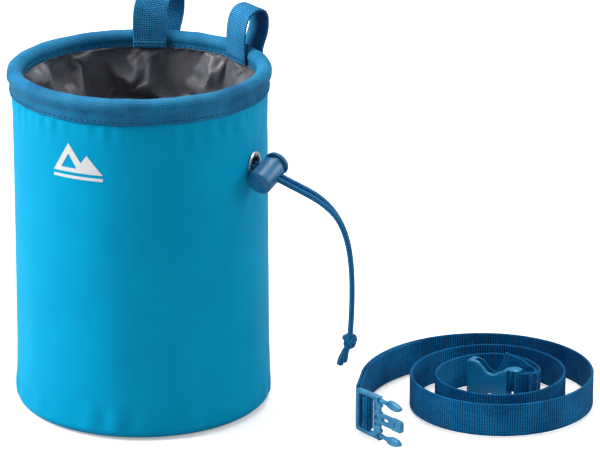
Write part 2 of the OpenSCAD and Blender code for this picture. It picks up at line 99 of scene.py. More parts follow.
WALL_INNER_R = 60.06
BAND_BOTTOM_WAVE = 0.25
RIM_RIBS = 832
PLAIT_LENGTH = 2.4
PLAITS = 3.0


# ---------------------------------------------------------------- mesh helpers

def box_mm(node):
    """Lowest and highest corners of a CAD node, in millimetres."""
    low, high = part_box(node)
    return np.array(low) / MM, np.array(high) / MM


class Shape:
    """Points and faces in millimetres, with a texture coordinate in millimetres for each face corner."""

    def __init__(self):
        self.points = []
        self.faces = []
        self.uvs = []
        self.count = 0

    def add(self, points, faces, uvs=None):
        faces = [list(face) for face in faces]
        self.points.append(np.asarray(points, float).reshape(-1, 3))
        self.faces += [[i + self.count for i in face] for face in faces]
        self.uvs += uvs if uvs is not None else [(0.0, 0.0)] * sum(len(face) for face in faces)
        self.count += len(self.points[-1])
        return self

    def grid(self, points, u=None, v=None, wrap_rows=False, wrap_cols=False, caps=False, flip=False):
        """A sheet of quads through points[row, column]; u runs along the rows and v along the columns."""
        rows, cols = points.shape[:2]
        row_quads = rows if wrap_rows else rows - 1
        col_quads = cols if wrap_cols else cols - 1
        i, j = np.meshgrid(np.arange(row_quads), np.arange(col_quads), indexing="ij")
        i, j = i.ravel(), j.ravel()
        corners = [(i, j), (i, j + 1), (i + 1, j + 1), (i + 1, j)]
        if flip:
            corners.reverse()
        quads = np.stack([(a % rows) * cols + (b % cols) for a, b in corners], 1)
        u = np.arange(row_quads + 1.0) if u is None else np.asarray(u, float)
        v = np.arange(col_quads + 1.0) if v is None else np.asarray(v, float)
        uv = np.stack([np.stack([u[a], v[b]], 1) for a, b in corners], 1).reshape(-1, 2)
        faces = quads.tolist()
        uvs = [tuple(pair) for pair in uv.tolist()]
        if caps:
            for row in (0, rows - 1):
                ring = [row * cols + c for c in range(cols)]
                if (row == 0) != flip:
                    ring.reverse()
                faces.append(ring)
                uvs += [(float(u[row]), float(v[c % cols])) for c in range(cols)]
        return self.add(points.reshape(-1, 3), faces, uvs)

    def piece(self, name, material, body, slot, replaces=(), smooth=True, place=None):
        """Makes the Blender object and puts it on its CAD body."""
        points = np.concatenate(self.points) if len(self.points) > 1 else self.points[0]
        mesh = bpy.data.meshes.new(name)
        mesh.from_pydata((points * MM).tolist(), [], self.faces)
        layer = mesh.uv_layers.new(name="fabric_mm")
        layer.data.foreach_set("uv", np.asarray(self.uvs, np.float32).ravel())
        mesh.polygons.foreach_set("use_smooth", [smooth] * len(mesh.polygons))
        mesh.update()
        if place is not None:
            mesh.transform(place)
        return dress(add_object(name, mesh), material, body, replaces)


def add_object(name, data):
    """A new object in the scene."""
    obj = bpy.data.objects.new(name, data)
    bpy.context.scene.collection.objects.link(obj)
    return obj


def dress(obj, material, body, replaces=()):
    """Gives a finished object its material, its body and the CAD nodes it stands for."""
    obj.data.materials.clear()
    obj.data.materials.append(material)
    if body:
        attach(obj, body)
    if replaces:
        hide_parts(*replaces)
    return obj


def apply_modifiers(obj):
    """Replaces an object's mesh with what its modifiers make of it."""
    bpy.context.view_layer.update()
    evaluated = obj.evaluated_get(bpy.context.evaluated_depsgraph_get())
    mesh = bpy.data.meshes.new_from_object(evaluated)
    obj.modifiers.clear()
    obj.data = mesh


def combine(obj, operation, others):
    """Cuts closed meshes out of an object or unites it with them, and removes them."""
    for other in others:
        modifier = obj.modifiers.new("combine", "BOOLEAN")
        modifier.operation = operation
        modifier.solver = "EXACT"
        modifier.object = other
    apply_modifiers(obj)
    for other in others:
        bpy.data.objects.remove(other)


def cutter_box(size, place):
    """A box cutter of the given size in mm, centred on the origin of place, a matrix in metres."""
    sx, sy, sz = (0.5 * s for s in size)
    points = [(x, y, z) for x in (-sx, sx) for y in (-sy, sy) for z in (-sz, sz)]
    faces = [(0, 1, 3, 2), (4, 6, 7, 5), (0, 4, 5, 1), (2, 3, 7, 6), (0, 2, 6, 4), (1, 5, 7, 3)]
    mesh = bpy.data.meshes.new("cutter")
    mesh.from_pydata([tuple(MM * c for c in p) for p in points], [], faces)
    mesh.transform(place)
    return add_object("cutter", mesh)


def ring_angles(count):
    """Evenly spaced angles once round, in radians."""
    return np.linspace(0, TAU, count, endpoint=False)


def polar(angle, r, z):
    """Points at an angle in radians round the bag's axis; the three are broadcast together."""
    angle, r, z = np.broadcast_arrays(angle, r, z)
    return np.stack([r * np.cos(angle), r * np.sin(angle), z], -1)


def smoothstep(t):
    """Eased rise from 0 to 1, level outside that range."""
    t = np.clip(t, 0.0, 1.0)
    return t * t * (3 - 2 * t)


def bump_at(x, centre, width):
    """A bell of height 1 about a centre."""
    return np.exp(-(((x - centre) / width) ** 2))


def angle_gap(angle, centre):
    """Signed difference between two angles, between -pi and pi."""
    return (angle - centre + math.pi) % TAU - math.pi


def ripple(angle, along, seed, lobes, drift, count=6):
    """A smooth wavering of height about 1 that joins up round the bag."""
    random = np.random.default_rng(seed)
    total = 0.0
    for _ in range(count):
        lobe = int(random.integers(lobes[0], lobes[1] + 1))
        slope = random.uniform(-drift, drift)
        total = total + np.sin(lobe * angle + slope * along + random.uniform(0, TAU))
    return total / math.sqrt(count)


def spline(points, step):
    """A smooth curve through points, sampled about every step millimetres."""
    p = np.asarray(points, float)
    p = np.vstack([2 * p[0] - p[1], p, 2 * p[-1] - p[-2]])
    fine = []
    for a, b, c, d in zip(p[:-3], p[1:-2], p[2:-1], p[3:]):
        t = np.linspace(0, 1, 16, endpoint=False)[:, None]
        fine.append(0.5 * (2 * b + (c - a) * t + (2 * a - 5 * b + 4 * c - d) * t ** 2
                           + (3 * b - a - 3 * c + d) * t ** 3))
    fine = np.vstack(fine + [p[-2:-1]])
    length = np.concatenate([[0], np.cumsum(np.linalg.norm(np.diff(fine, axis=0), axis=1))])
    count = max(2, int(round(length[-1] / step)) + 1)
    at = np.linspace(0, length[-1], count)
    return np.stack([np.interp(at, length, fine[:, k]) for k in range(p.shape[1])], 1), at


def directions(points):
    """Unit directions along a line of points."""
    along = np.gradient(points, axis=0)
    return along / np.linalg.norm(along, axis=1)[:, None]


def tube(shape, points, radius, around=16, relief=None, step=0.5, start_side=(0, 1, 0)):
    """A round cord through points; relief(along, angle) is added to its radius."""
    line, at = spline(points, step)
    along = directions(line)
    side = np.asarray(start_side, float)
    sides = []
    for d in along:
        side = side - d * (side @ d)
        side = side / np.linalg.norm(side)
        sides.append(side)
    sides = np.array(sides)
    ups = np.cross(along, sides)
    angle = ring_angles(around)
    r = np.full((len(line), around), float(radius))
    if relief is not None:
        r = r + relief(at[:, None], angle[None, :])
    ends = np.ones(len(line))
    ends[0] = ends[-1] = 0.55
    r = r * ends[:, None]
    grid = line[:, None, :] + r[..., None] * (np.cos(angle)[None, :, None] * sides[:, None, :]
                                              + np.sin(angle)[None, :, None] * ups[:, None, :])
    shape.grid(grid, u=at, v=np.linspace(0, 1, around + 1), wrap_cols=True, caps=True)
    return shape


def capsule(shape, a, b, r, sag=(0, 0, 0)):
    """One stitch of thread from a to b, pulled in by sag at both ends."""
    a, b, sag = (np.asarray(p, float) for p in (a, b, sag))
    line = np.array([a + sag, a + (b - a) * 0.2, (a + b) / 2, b + (a - b) * 0.2, b + sag])
    d = (b - a) / np.linalg.norm(b - a)
    side = np.cross(d, [0.3, 0.5, 0.81])
    side = side / np.linalg.norm(side)
    up = np.cross(d, side)
    angle = ring_angles(8)
    ring = np.cos(angle)[:, None] * side + np.sin(angle)[:, None] * up
    radii = r * np.array([0.5, 1.0, 1.05, 1.0, 0.5])
    grid = line[:, None, :] + radii[:, None, None] * ring[None, :, :]
    return shape.grid(grid, wrap_cols=True, caps=True)


def lathe(shape, profile, around=72, place=None):
    """A closed outline of (radius, height) turned about Z, then moved by place, a matrix in mm."""
    profile = np.asarray(profile, float)
    angle = ring_angles(around)
    grid = polar(angle[None, :], profile[:, 0][:, None], profile[:, 1][:, None])
    if place is not None:
        flat = grid.reshape(-1, 3) @ np.array(place.to_3x3()).T + np.array(place.translation)
        grid = flat.reshape(grid.shape)
    return shape.grid(grid, wrap_rows=True, wrap_cols=True)


def rounded(outline, radius, steps=4):
    """An outline of (x, y) corners with each corner rounded; radius may be one number or one a corner."""
    p = np.asarray(outline, float)
    radii = np.broadcast_to(radius, len(p))
    out = []
    for k in range(len(p)):
        before, here, after = p[k - 1], p[k], p[(k + 1) % len(p)]
        a, b = before - here, after - here
        reach = min(radii[k], 0.45 * np.linalg.norm(a), 0.45 * np.linalg.norm(b))
        a = here + a / np.linalg.norm(a) * reach
        b = here + b / np.linalg.norm(b) * reach
        for t in np.linspace(0, 1, steps + 1):
            out.append((1 - t) ** 2 * a + 2 * t * (1 - t) * here + t * t * b)
    return np.array(out)


# ---------------------------------------------------------------- materials

def rgb(red, green, blue):
    """A colour from its 0 to 255 screen values."""
    def linear(c):
        c = c / 255
        return c / 12.92 if c <= 0.04045 else ((c + 0.055) / 1.055) ** 2.4
    return (linear(red), linear(green), linear(blue), 1.0)


class Nodes:
    """A material's node tree, built a line at a time."""

    def __init__(self, name):
        self.material = bpy.data.materials.new(name)
        self.material.use_nodes = True
        self.tree = self.material.node_tree
        self.surface = self.tree.nodes["Principled BSDF"]

    def node(self, kind, settings=None, **inputs):
        node = self.tree.nodes.new(kind)
        for key, value in (settings or {}).items():
            setattr(node, key, value)
        for key, value in inputs.items():
            self.set(node, key, value)
        return node

    def set(self, node, key, value):
        """Sets or links an input: i0, i1 and so on go by number, the others by name."""
        if key.startswith("i") and key[1:].isdigit():
            socket = node.inputs[int(key[1:])]
        else:
            socket = node.inputs[key.replace("_", " ")]
        if isinstance(value, bpy.types.NodeSocket):
            self.tree.links.new(value, socket)
        else:
            socket.default_value = value

    def math(self, operation, a, b=0.0, c=0.0):
        return self.node("ShaderNodeMath", {"operation": operation}, i0=a, i1=b, i2=c).outputs[0]

    def times(self, a, b):
        return self.math("MULTIPLY", a, b)

    def ramp(self, value, low, high, to_low=0.0, to_high=1.0):
        node = self.node("ShaderNodeMapRange", None, Value=value)
        for key, number in (("From Min", low), ("From Max", high), ("To Min", to_low), ("To Max", to_high)):
            self.set(node, key, number)
        return node.outputs[0]

    def mix(self, share, a, b):
        node = self.node("ShaderNodeMix", {"data_type": "RGBA"})
        self.set(node, "i0", share)
        self.set(node, "i6", a)
        self.set(node, "i7", b)
        return node.outputs[2]

    def noise(self, vector, scale, detail=3.0, roughness=0.55):
        return self.node("ShaderNodeTexNoise", None, Vector=vector, Scale=scale, Detail=detail,
                         Roughness=roughness).outputs[0]

    def place_mm(self):
        """The point's own position in millimetres."""
        position = self.node("ShaderNodeTexCoord").outputs["Object"]
        return self.node("ShaderNodeVectorMath", {"operation": "SCALE"}, i0=position, Scale=1000.0).outputs[0]

    def stretch(self, vector, *scale):
        return self.node("ShaderNodeMapping", None, Vector=vector, Scale=scale).outputs[0]

    def split(self, vector):
        return self.node("ShaderNodeSeparateXYZ", None, Vector=vector).outputs

    def cloth_mm(self):
        """Distances in millimetres along and across the cloth."""
        uv = self.node("ShaderNodeUVMap", {"uv_map": "fabric_mm"}).outputs[0]
        return self.split(uv)

    def round_bag_mm(self):
        """Distance round the bag's wall and height above the ground, in millimetres."""
        x, y, z = self.split(self.place_mm())[:3]
        angle = self.math("ARCTAN2", y, x)
        return self.times(angle, BODY_R), z

    def yarns(self, along, across, pitch_along, pitch_across):
        """Plain weave: (height 0 to 1, which of the two yarns is on top 0 or 1)."""
        a = self.math("SINE", self.times(along, math.pi / pitch_along))
        b = self.math("SINE", self.times(across, math.pi / pitch_across))
        height = self.math("SQRT", self.times(self.math("ABSOLUTE", a), self.math("ABSOLUTE", b)))
        over = self.math("GREATER_THAN", self.times(a, b), 0.0)
        return height, over

    def bump(self, height, distance_mm, strength=1.0, normal=None):
        node = self.node("ShaderNodeBump", None, Height=height, Distance=distance_mm * MM, Strength=strength)
        if normal is not None:
            self.set(node, "Normal", normal)
        return node.outputs[0]

    def finish(self, **inputs):
        for key, value in inputs.items():
            self.set(self.surface, key, value)
        return self.material


def woven_wall(name, base, shade_and_fleck, light, pitch, sheen):
    """Coated fine plain-weave polyester wrapped round the bag, with painted shade in the gaps between the
    yarns and a faint painted highlight where the yarns of one direction lie on top.
    """
    n = Nodes(name)
    around, height = n.round_bag_mm()
    place = n.place_mm()
    yarn, over = n.yarns(around, height, pitch, pitch)
    cloud = n.noise(place, 0.035, 4.0)
    fleck = n.noise(place, 1.6, 2.0)
    colour = n.mix(n.ramp(cloud, 0.3, 0.7), base, light)
    # painted shade: darker in the gaps between the yarns
    colour = n.mix(n.times(n.ramp(yarn, 0.0, 0.55, 1.0, 0.0), 0.35), colour, shade_and_fleck)
    # painted highlight: lighter where the yarns of one direction lie on top
    colour = n.mix(n.times(over, 0.07), colour, light)
    colour = n.mix(n.ramp(fleck, 0.55, 0.8, 0.0, 0.12), colour, shade_and_fleck)
    relief = n.bump(yarn, 0.05, 0.55)
    relief = n.bump(cloud, 1.2, 0.25, relief)
    return n.finish(Base_Color=colour, Roughness=n.ramp(fleck, 0.3, 0.7, 0.44, 0.58), Normal=relief,
                    Sheen_Weight=sheen, Sheen_Roughness=0.4, Specular_IOR_Level=0.04)


def webbing_material(name, base, shade_and_fleck, light, pitch_along, pitch_across, depth, yarn_highlight):
    """Thick nylon webbing whose picks stand out, with painted shade in the gaps and between the ribs, painted
    highlights where the yarns of one direction lie on top, and fuzz on the yarns.
    """
    n = Nodes(name)
    cloth = n.cloth_mm()
    place = n.place_mm()
    yarn, over = n.yarns(cloth[0], cloth[1], pitch_along, pitch_across)
    rib = n.math("ABSOLUTE", n.math("SINE", n.times(cloth[0], math.pi / pitch_along)))
    patch = n.noise(n.stretch(place, 0.3, 0.3, 0.9), 0.9, 2.0)
    strand = n.math("SINE", n.times(n.math("ADD", cloth[0], cloth[1]), TAU / 0.28))
    cloud = n.noise(place, 0.06, 3.0)
    fleck = n.noise(place, 2.2, 2.0)
    colour = n.mix(n.ramp(cloud, 0.3, 0.7), base, light)
    # painted highlight: lighter where the yarns of one direction lie on top
    colour = n.mix(n.times(over, yarn_highlight), colour, light)
    # painted shade: darker in the gaps between the yarns
    colour = n.mix(n.ramp(yarn, 0.15, 0.75, 0.85, 0.0), colour, shade_and_fleck)
    # painted shade: darker in the grooves between the ribs
    colour = n.mix(n.ramp(rib, 0.1, 0.8, 0.6, 0.0), colour, shade_and_fleck)
    colour = n.mix(n.ramp(patch, 0.5, 0.75, 0.0, 0.25), colour, light)
    colour = n.mix(n.ramp(fleck, 0.5, 0.85, 0.0, 0.25), colour, shade_and_fleck)
    height = n.math("ADD", yarn, n.times(strand, 0.06))
    relief = n.bump(height, depth, 0.8)
    return n.finish(Base_Color=colour, Roughness=n.ramp(fleck, 0.3, 0.7, 0.5, 0.7), Normal=relief,
                    Sheen_Weight=0.02, Sheen_Roughness=0.35, Specular_IOR_Level=0.08)


def tape_material():
    """Binding tape: fine cross ribs with rows running round the rim, with painted shade in the gaps between
    the yarns and painted highlights where the yarns of one direction lie on top.
    """
    n = Nodes("rim_tape")
    cloth = n.cloth_mm()
    place = n.place_mm()
    yarn, over = n.yarns(cloth[0], cloth[1], 0.9, TAU * BODY_R / RIM_RIBS * 2)
    cloud = n.noise(place, 0.05, 3.0)
    fleck = n.noise(place, 1.8, 2.0)
    base, light, shade_and_fleck = rgb(0, 84, 138), rgb(40, 146, 200), rgb(0, 18, 52)
    colour = n.mix(n.ramp(cloud, 0.3, 0.7), base, light)
    # painted highlight: lighter where the yarns of one direction lie on top
    colour = n.mix(n.times(over, 0.45), colour, light)
    # painted shade: darker in the gaps between the yarns
    colour = n.mix(n.ramp(yarn, 0.15, 0.75, 0.85, 0.0), colour, shade_and_fleck)
    colour = n.mix(n.ramp(fleck, 0.55, 0.85, 0.0, 0.2), colour, shade_and_fleck)
    relief = n.bump(yarn, 0.1, 0.7)
    return n.finish(Base_Color=colour, Roughness=n.ramp(fleck, 0.3, 0.7, 0.5, 0.66), Normal=relief,
                    Sheen_Weight=0.04, Sheen_Roughness=0.35, Specular_IOR_Level=0.12)


def lining_material():
    """Slippery grey nylon with a faint ripstop grid."""
    n = Nodes("lining_nylon")
    cloth = n.cloth_mm()
    place = n.place_mm()
    yarn = n.yarns(cloth[0], cloth[1], 0.35, 0.35)[0]
    grid_a = n.math("PINGPONG", cloth[0], 0.6)
    grid_b = n.math("PINGPONG", cloth[1], 0.6)
    line = n.math("LESS_THAN", n.math("MINIMUM", grid_a, grid_b), 0.1)
    cloud = n.noise(place, 0.08, 4.0)
    colour = n.mix(n.ramp(cloud, 0.3, 0.7), rgb(74, 76, 85), rgb(104, 106, 116))
    colour = n.mix(n.times(line, 0.22), colour, rgb(130, 134, 146))
    relief = n.bump(n.math("ADD", yarn, line), 0.04, 0.4)
    relief = n.bump(n.noise(place, 0.12, 3.0), 0.9, 0.3, relief)
    return n.finish(Base_Color=colour, Roughness=n.ramp(cloud, 0.3, 0.7, 0.3, 0.42), Normal=relief,
                    Sheen_Weight=0.1, Sheen_Roughness=0.3, Specular_IOR_Level=0.35)


def fleece_material():
    """Soft pile inside the bag, with chalk dust in it."""
    n = Nodes("fleece")
    place = n.place_mm()
    tufts = n.noise(place, 0.8, 6.0, 0.7)
    dust = n.noise(place, 0.06, 4.0)
    colour = n.mix(n.ramp(tufts, 0.3, 0.7), rgb(74, 77, 86), rgb(120, 123, 131))
    colour = n.mix(n.ramp(dust, 0.5, 0.8, 0.0, 0.35), colour, rgb(190, 191, 193))
    relief = n.bump(tufts, 0.9, 0.9)
    return n.finish(Base_Color=colour, Roughness=0.95, Normal=relief, Sheen_Weight=0.8, Sheen_Roughness=0.6)


def foam_material():
    """Closed-cell foam, pale grey with fine pores that are painted darker as shade."""
    n = Nodes("foam")
    place = n.place_mm()
    pores = n.node("ShaderNodeTexVoronoi", None, Vector=place, Scale=1.3).outputs[0]
    # painted shade: darker in the pores
    colour = n.mix(n.ramp(pores, 0.1, 0.6), rgb(150, 152, 155), rgb(205, 206, 208))
    return n.finish(Base_Color=colour, Roughness=0.9, Normal=n.bump(pores, 0.15, 0.6))


def cord_material(name, base, shade_and_fleck, light):
    """Braided cord: the plait is in the mesh, the yarns of each strand are here, with a painted highlight on
    the raised strands and painted shade in the grooves between them.
    """
    n = Nodes(name)
    cloth = n.cloth_mm()
    turns = n.times(cloth[1], TAU)
    along = n.times(cloth[0], TAU / PLAIT_LENGTH)
    round_cord = n.times(turns, PLAITS)
    left = n.math("SINE", n.math("ADD", along, round_cord))
    right = n.math("SINE", n.math("SUBTRACT", along, round_cord))
    plait = n.times(left, right)
    fibre = n.math("SINE", n.times(turns, 26.0))
    fleck = n.noise(n.place_mm(), 2.5, 2.0)
    # painted highlight: lighter on the strands that stand out in the mesh, darker on the sunken ones
    colour = n.mix(n.ramp(plait, -0.5, 0.5), base, light)
    # painted shade: darker in the grooves between the strands
    colour = n.mix(n.ramp(n.math("ABSOLUTE", plait), 0.0, 0.2, 0.7, 0.0), colour, shade_and_fleck)
    colour = n.mix(n.ramp(fleck, 0.5, 0.8, 0.0, 0.25), colour, shade_and_fleck)
    height = n.math("ADD", n.math("ABSOLUTE", plait), n.times(fibre, 0.08))
    return n.finish(Base_Color=colour, Roughness=0.6, Normal=n.bump(height, 0.12, 0.7),
                    Sheen_Weight=0.03, Sheen_Roughness=0.35, Specular_IOR_Level=0.12)


def plastic_material(name, base, light, roughness, scuff=0.15):
    """Moulded nylon with a fine skin texture, faint flow marks and scuffs on raised places."""
    n = Nodes(name)
    place = n.place_mm()
    skin = n.noise(place, 3.5, 3.0)
    flow = n.noise(place, 0.12, 3.0)
    scratch = n.noise(n.stretch(place, 0.4, 6.0, 2.5), 0.9, 3.0)
    colour = n.mix(n.ramp(flow, 0.3, 0.7), base, light)
    colour = n.mix(n.ramp(scratch, 0.62, 0.75, 0.0, scuff), colour, light)
    rough = n.math("ADD", n.ramp(skin, 0.3, 0.7, roughness - 0.05, roughness + 0.08),
                   n.ramp(scratch, 0.55, 0.75, 0.0, 0.12))
    relief = n.bump(skin, 0.04, 0.5)
    relief = n.bump(flow, 0.5, 0.15, relief)
    return n.finish(Base_Color=colour, Roughness=rough, Normal=relief, Specular_IOR_Level=0.5,
                    Subsurface_Weight=0.04, Subsurface_Scale=0.002)


def metal_material(name, base, roughness):
    """Nickel-plated steel with fine polishing marks."""
    n = Nodes(name)
    place = n.place_mm()
    marks = n.noise(place, 4.0, 4.0)
    smudge = n.noise(place, 0.4, 3.0)
    colour = n.mix(n.ramp(smudge, 0.3, 0.7), base, rgb(236, 232, 226))
    return n.finish(Base_Color=colour, Metallic=1.0, Normal=n.bump(marks, 0.02, 0.3),
                    Roughness=n.ramp(smudge, 0.3, 0.7, roughness, roughness + 0.12))


def print_material():
    """Silver-grey ink on the cloth, thin enough to show the weave and slightly cracked."""
    n = Nodes("print")
    around, height = n.round_bag_mm()
    place = n.place_mm()
    yarn = n.yarns(around, height, 0.5, 0.5)[0]
    crack = n.noise(place, 1.1, 5.0, 0.7)
    colour = n.mix(n.ramp(crack, 0.35, 0.65), rgb(206, 211, 219), rgb(226, 229, 234))
    colour = n.mix(n.ramp(crack, 0.68, 0.74, 0.0, 0.55), colour, rgb(60, 150, 195))
    return n.finish(Base_Color=colour, Roughness=0.5, Normal=n.bump(yarn, 0.05, 0.5))


def thread_material(name, base, light):
    """Twisted sewing thread, lighter on the crests of the twist as a painted highlight and darker between
    them as painted shade.
    """
    n = Nodes(name)
    place = n.place_mm()
    x, y, z = n.split(place)[:3]
    twist = n.math("SINE", n.times(n.math("ADD", n.math("ADD", x, y), z), TAU / 0.35))
    # painted highlight and shade: lighter on the crests of the twist, darker between them
    colour = n.mix(n.ramp(twist, -1.0, 1.0), base, light)
    return n.finish(Base_Color=colour, Roughness=0.55, Normal=n.bump(twist, 0.04, 0.6),
                    Specular_IOR_Level=0.15)


SHELL = woven_wall("shell_cloth", rgb(0, 155, 207), rgb(0, 118, 168), rgb(0, 164, 214), 0.42, 0.0)
BELT = webbing_material("belt_webbing_nylon", rgb(0, 98, 160), rgb(0, 8, 36), rgb(24, 142, 212),
                        1.2, 1.18, 0.25, 0.2)
LOOP = webbing_material("loop_webbing_nylon", rgb(9, 103, 169), rgb(0, 10, 40), rgb(64, 170, 234),
                        0.9, 1.18, 0.3, 0.5)
TAPE = tape_material()
LINING = lining_material()
FLEECE = fleece_material()
FOAM = foam_material()
CORD = cord_material("drawcord_braid", rgb(10, 84, 140), rgb(0, 44, 86), rgb(36, 122, 178))
LOCK = plastic_material("lock_plastic", rgb(14, 98, 146), rgb(50, 126, 172), 0.34)
BUCKLE_LIGHT = plastic_material("male_buckle_plastic", rgb(20, 106, 158), rgb(60, 146, 192), 0.28)
BUCKLE_DARK = plastic_material("female_buckle_plastic", rgb(0, 114, 168), rgb(20, 134, 184), 0.26)
NICKEL = metal_material("nickel", rgb(205, 201, 196), 0.18)
SPRING = metal_material("spring_steel", rgb(180, 180, 182), 0.25)
INK = print_material()
THREAD = thread_material("blue_thread", rgb(16, 104, 158), rgb(56, 148, 198))
DARK_THREAD = thread_material("dark_thread", rgb(4, 82, 132), rgb(28, 116, 168))


# ---------------------------------------------------------------- bag wall and base

EYELET_ANGLE = 0.0
BADGE_ANGLE = -math.pi / 2


def wall_swell(angle, z):
    """How far the cloth stands off the true cylinder, in mm."""
    calm = 1 - bump_at(angle_gap(angle, BADGE_ANGLE) * BODY_R, 0, 24) * bump_at(z, 137, 16)
    near_eyelet = np.hypot(angle_gap(angle, EYELET_ANGLE) * BODY_R, z - NECK_Z)
    calm = calm * smoothstep((near_eyelet - 7) / 9)
    soft = 0.30 * ripple(angle, z, 3, (2, 6), 0.03) + 0.12 * ripple(angle, z, 4, (8, 15), 0.06)
    under_band = np.clip((BAND_Z - z) / 9, 0, 3)
    gather = 0.35 * ripple(angle, z, 5, (34, 58), 0.02, 8) * np.exp(-under_band ** 2) * (z < BAND_Z + 2)
    dimples = 0.0
    for degrees, down, width, depth in ((-41, 6, 3.4, 0.9), (-33, 9, 2.6, 0.8), (-24, 5, 2.2, 0.7),
                                        (-16, 7, 3.0, 0.9), (-7, 5, 2.4, 0.7), (118, 6, 3.0, 0.8),
                                        (150, 8, 2.6, 0.7), (205, 6, 3.2, 0.8)):
        lean = np.radians(degrees) - (z - BAND_Z + down) * 0.004
        dimples = dimples - depth * bump_at(angle_gap(angle, lean) * BODY_R, 0, width) * bump_at(
            z, BAND_Z - down, 5.5)
    drag = 0.35 * np.exp(-near_eyelet / 16) * np.cos(9 * np.arctan2(z - NECK_Z, angle_gap(angle, 0) * BODY_R))
    near_base = 0.35 * ripple(angle, z, 8, (20, 34), 0.05) * bump_at(z, 9, 6)
    flare = 0.7 * smoothstep((38 - z) / 38)
    return calm * (soft + gather + dimples + drag + near_base) + flare


def bag_wall():
    """The cloth wall, turned in at its foot, with the hole for the eyelet."""
    columns = 512
    angle = ring_angles(columns)[None, :]
    turn = np.radians(np.linspace(-90, 0, 8))[:, None]
    low_r = BODY_R - EDGE_R + EDGE_R * np.cos(turn)
    low_z = EDGE_R + EDGE_R * np.sin(turn)
    z_up = np.concatenate([np.linspace(EDGE_R + 1, 140, 62), np.linspace(141.3, 160.9, 18)])[:, None]
    r = np.vstack([low_r, np.full_like(z_up, BODY_R)])
    z = np.vstack([low_z, z_up])
    held = smoothstep((z - 0.2) / 4.0)
    outer_r = r + held * np.clip(wall_swell(angle, z), -0.7, 1.4)
    limit = np.where(z > BAND_Z - 1.0, BODY_R + 0.02, BODY_R + 2.0)
    outer_r = np.minimum(outer_r, limit)
    outer = polar(angle, outer_r, z)
    back = np.arange(len(z) - 1, -1, -6)
    inner_r = np.minimum(r, WALL_INNER_R)[back] - np.where(z[back] < EDGE_R, 0.9, 0.0)
    inner = polar(angle, inner_r, np.maximum(z[back], 0.35))
    shape = Shape().grid(np.concatenate([outer, inner]), wrap_rows=True, wrap_cols=True, flip=True)
    wall = shape.piece("bag_wall", SHELL, None, "shell_fabric")
    hole_r, sides = 4.12, 40
    turn = ring_angles(sides)
    rings = [np.stack([np.full(sides, x), hole_r * np.cos(turn), NECK_Z + hole_r * np.sin(turn)], 1)
             for x in (54.0, 66.0)]
    hole = Shape().grid(np.array(rings), wrap_cols=True, caps=True)
    cutter = hole.piece("cutter", SHELL, None, "shell_fabric")
    combine(wall, "DIFFERENCE", [cutter])
    dress(wall, SHELL, "bag", ["outer_shell"])


def bag_base():
    """Round base panel, very slightly puckered where it is sewn to the wall."""
    columns = 256
    angle = ring_angles(columns)[None, :]
    r = np.array([0.02, 12, 24, 36, 46, 51, 54, 55.6, 56.4, 56.8])[:, None]
    under = 0.12 + 0.10 * smoothstep((50 - r) / 20) + 0.06 * ripple(angle, r, 11, (3, 9), 0.05)
    under = np.maximum(under * (r < 56), 0.0)
    bottom = polar(angle, r, under)
    top = polar(angle, r[::-1], np.full_like(under, 0.98))
    shape = Shape().grid(np.concatenate([bottom, top]), wrap_rows=True, wrap_cols=True)
    shape.piece("bag_base", SHELL, "bag", "shell_fabric", ["base_panel"])


# ---------------------------------------------------------------- rim

def strip_section(path, thick, step, back_step):
    """Closed outline of a strip along path, fine on its outer side and coarser behind.

    Also gives how far along each point is, and the outward direction at the fine ones."""
    line, at = spline(path, step)
    d = directions(line)
    normal = np.stack([d[:, 1], -d[:, 0]], 1)
    front = line + normal * thick / 2
    behind = line - normal * thick / 2
    keep = np.unique(np.linspace(0, len(line) - 1, max(4, int(at[-1] / back_step))).astype(int))[::-1]
    ends = [line[-1] + d[-1] * thick * 0.35, line[0] - d[0] * thick * 0.35]
    outline = np.vstack([front, ends[:1], behind[keep], ends[1:]])
    reach = np.concatenate([at, [at[-1]], at[keep], [at[0]]])
    out = np.vstack([normal, np.zeros((1, 2)), np.zeros((len(keep), 2)), np.zeros((1, 2))])
    return outline, reach, out


def band_wave(angle):
    """How far the band's lower edge wavers up and down, in mm."""
    return BAND_BOTTOM_WAVE * ripple(angle, 0, 23, (5, 40), 0.0, 9)


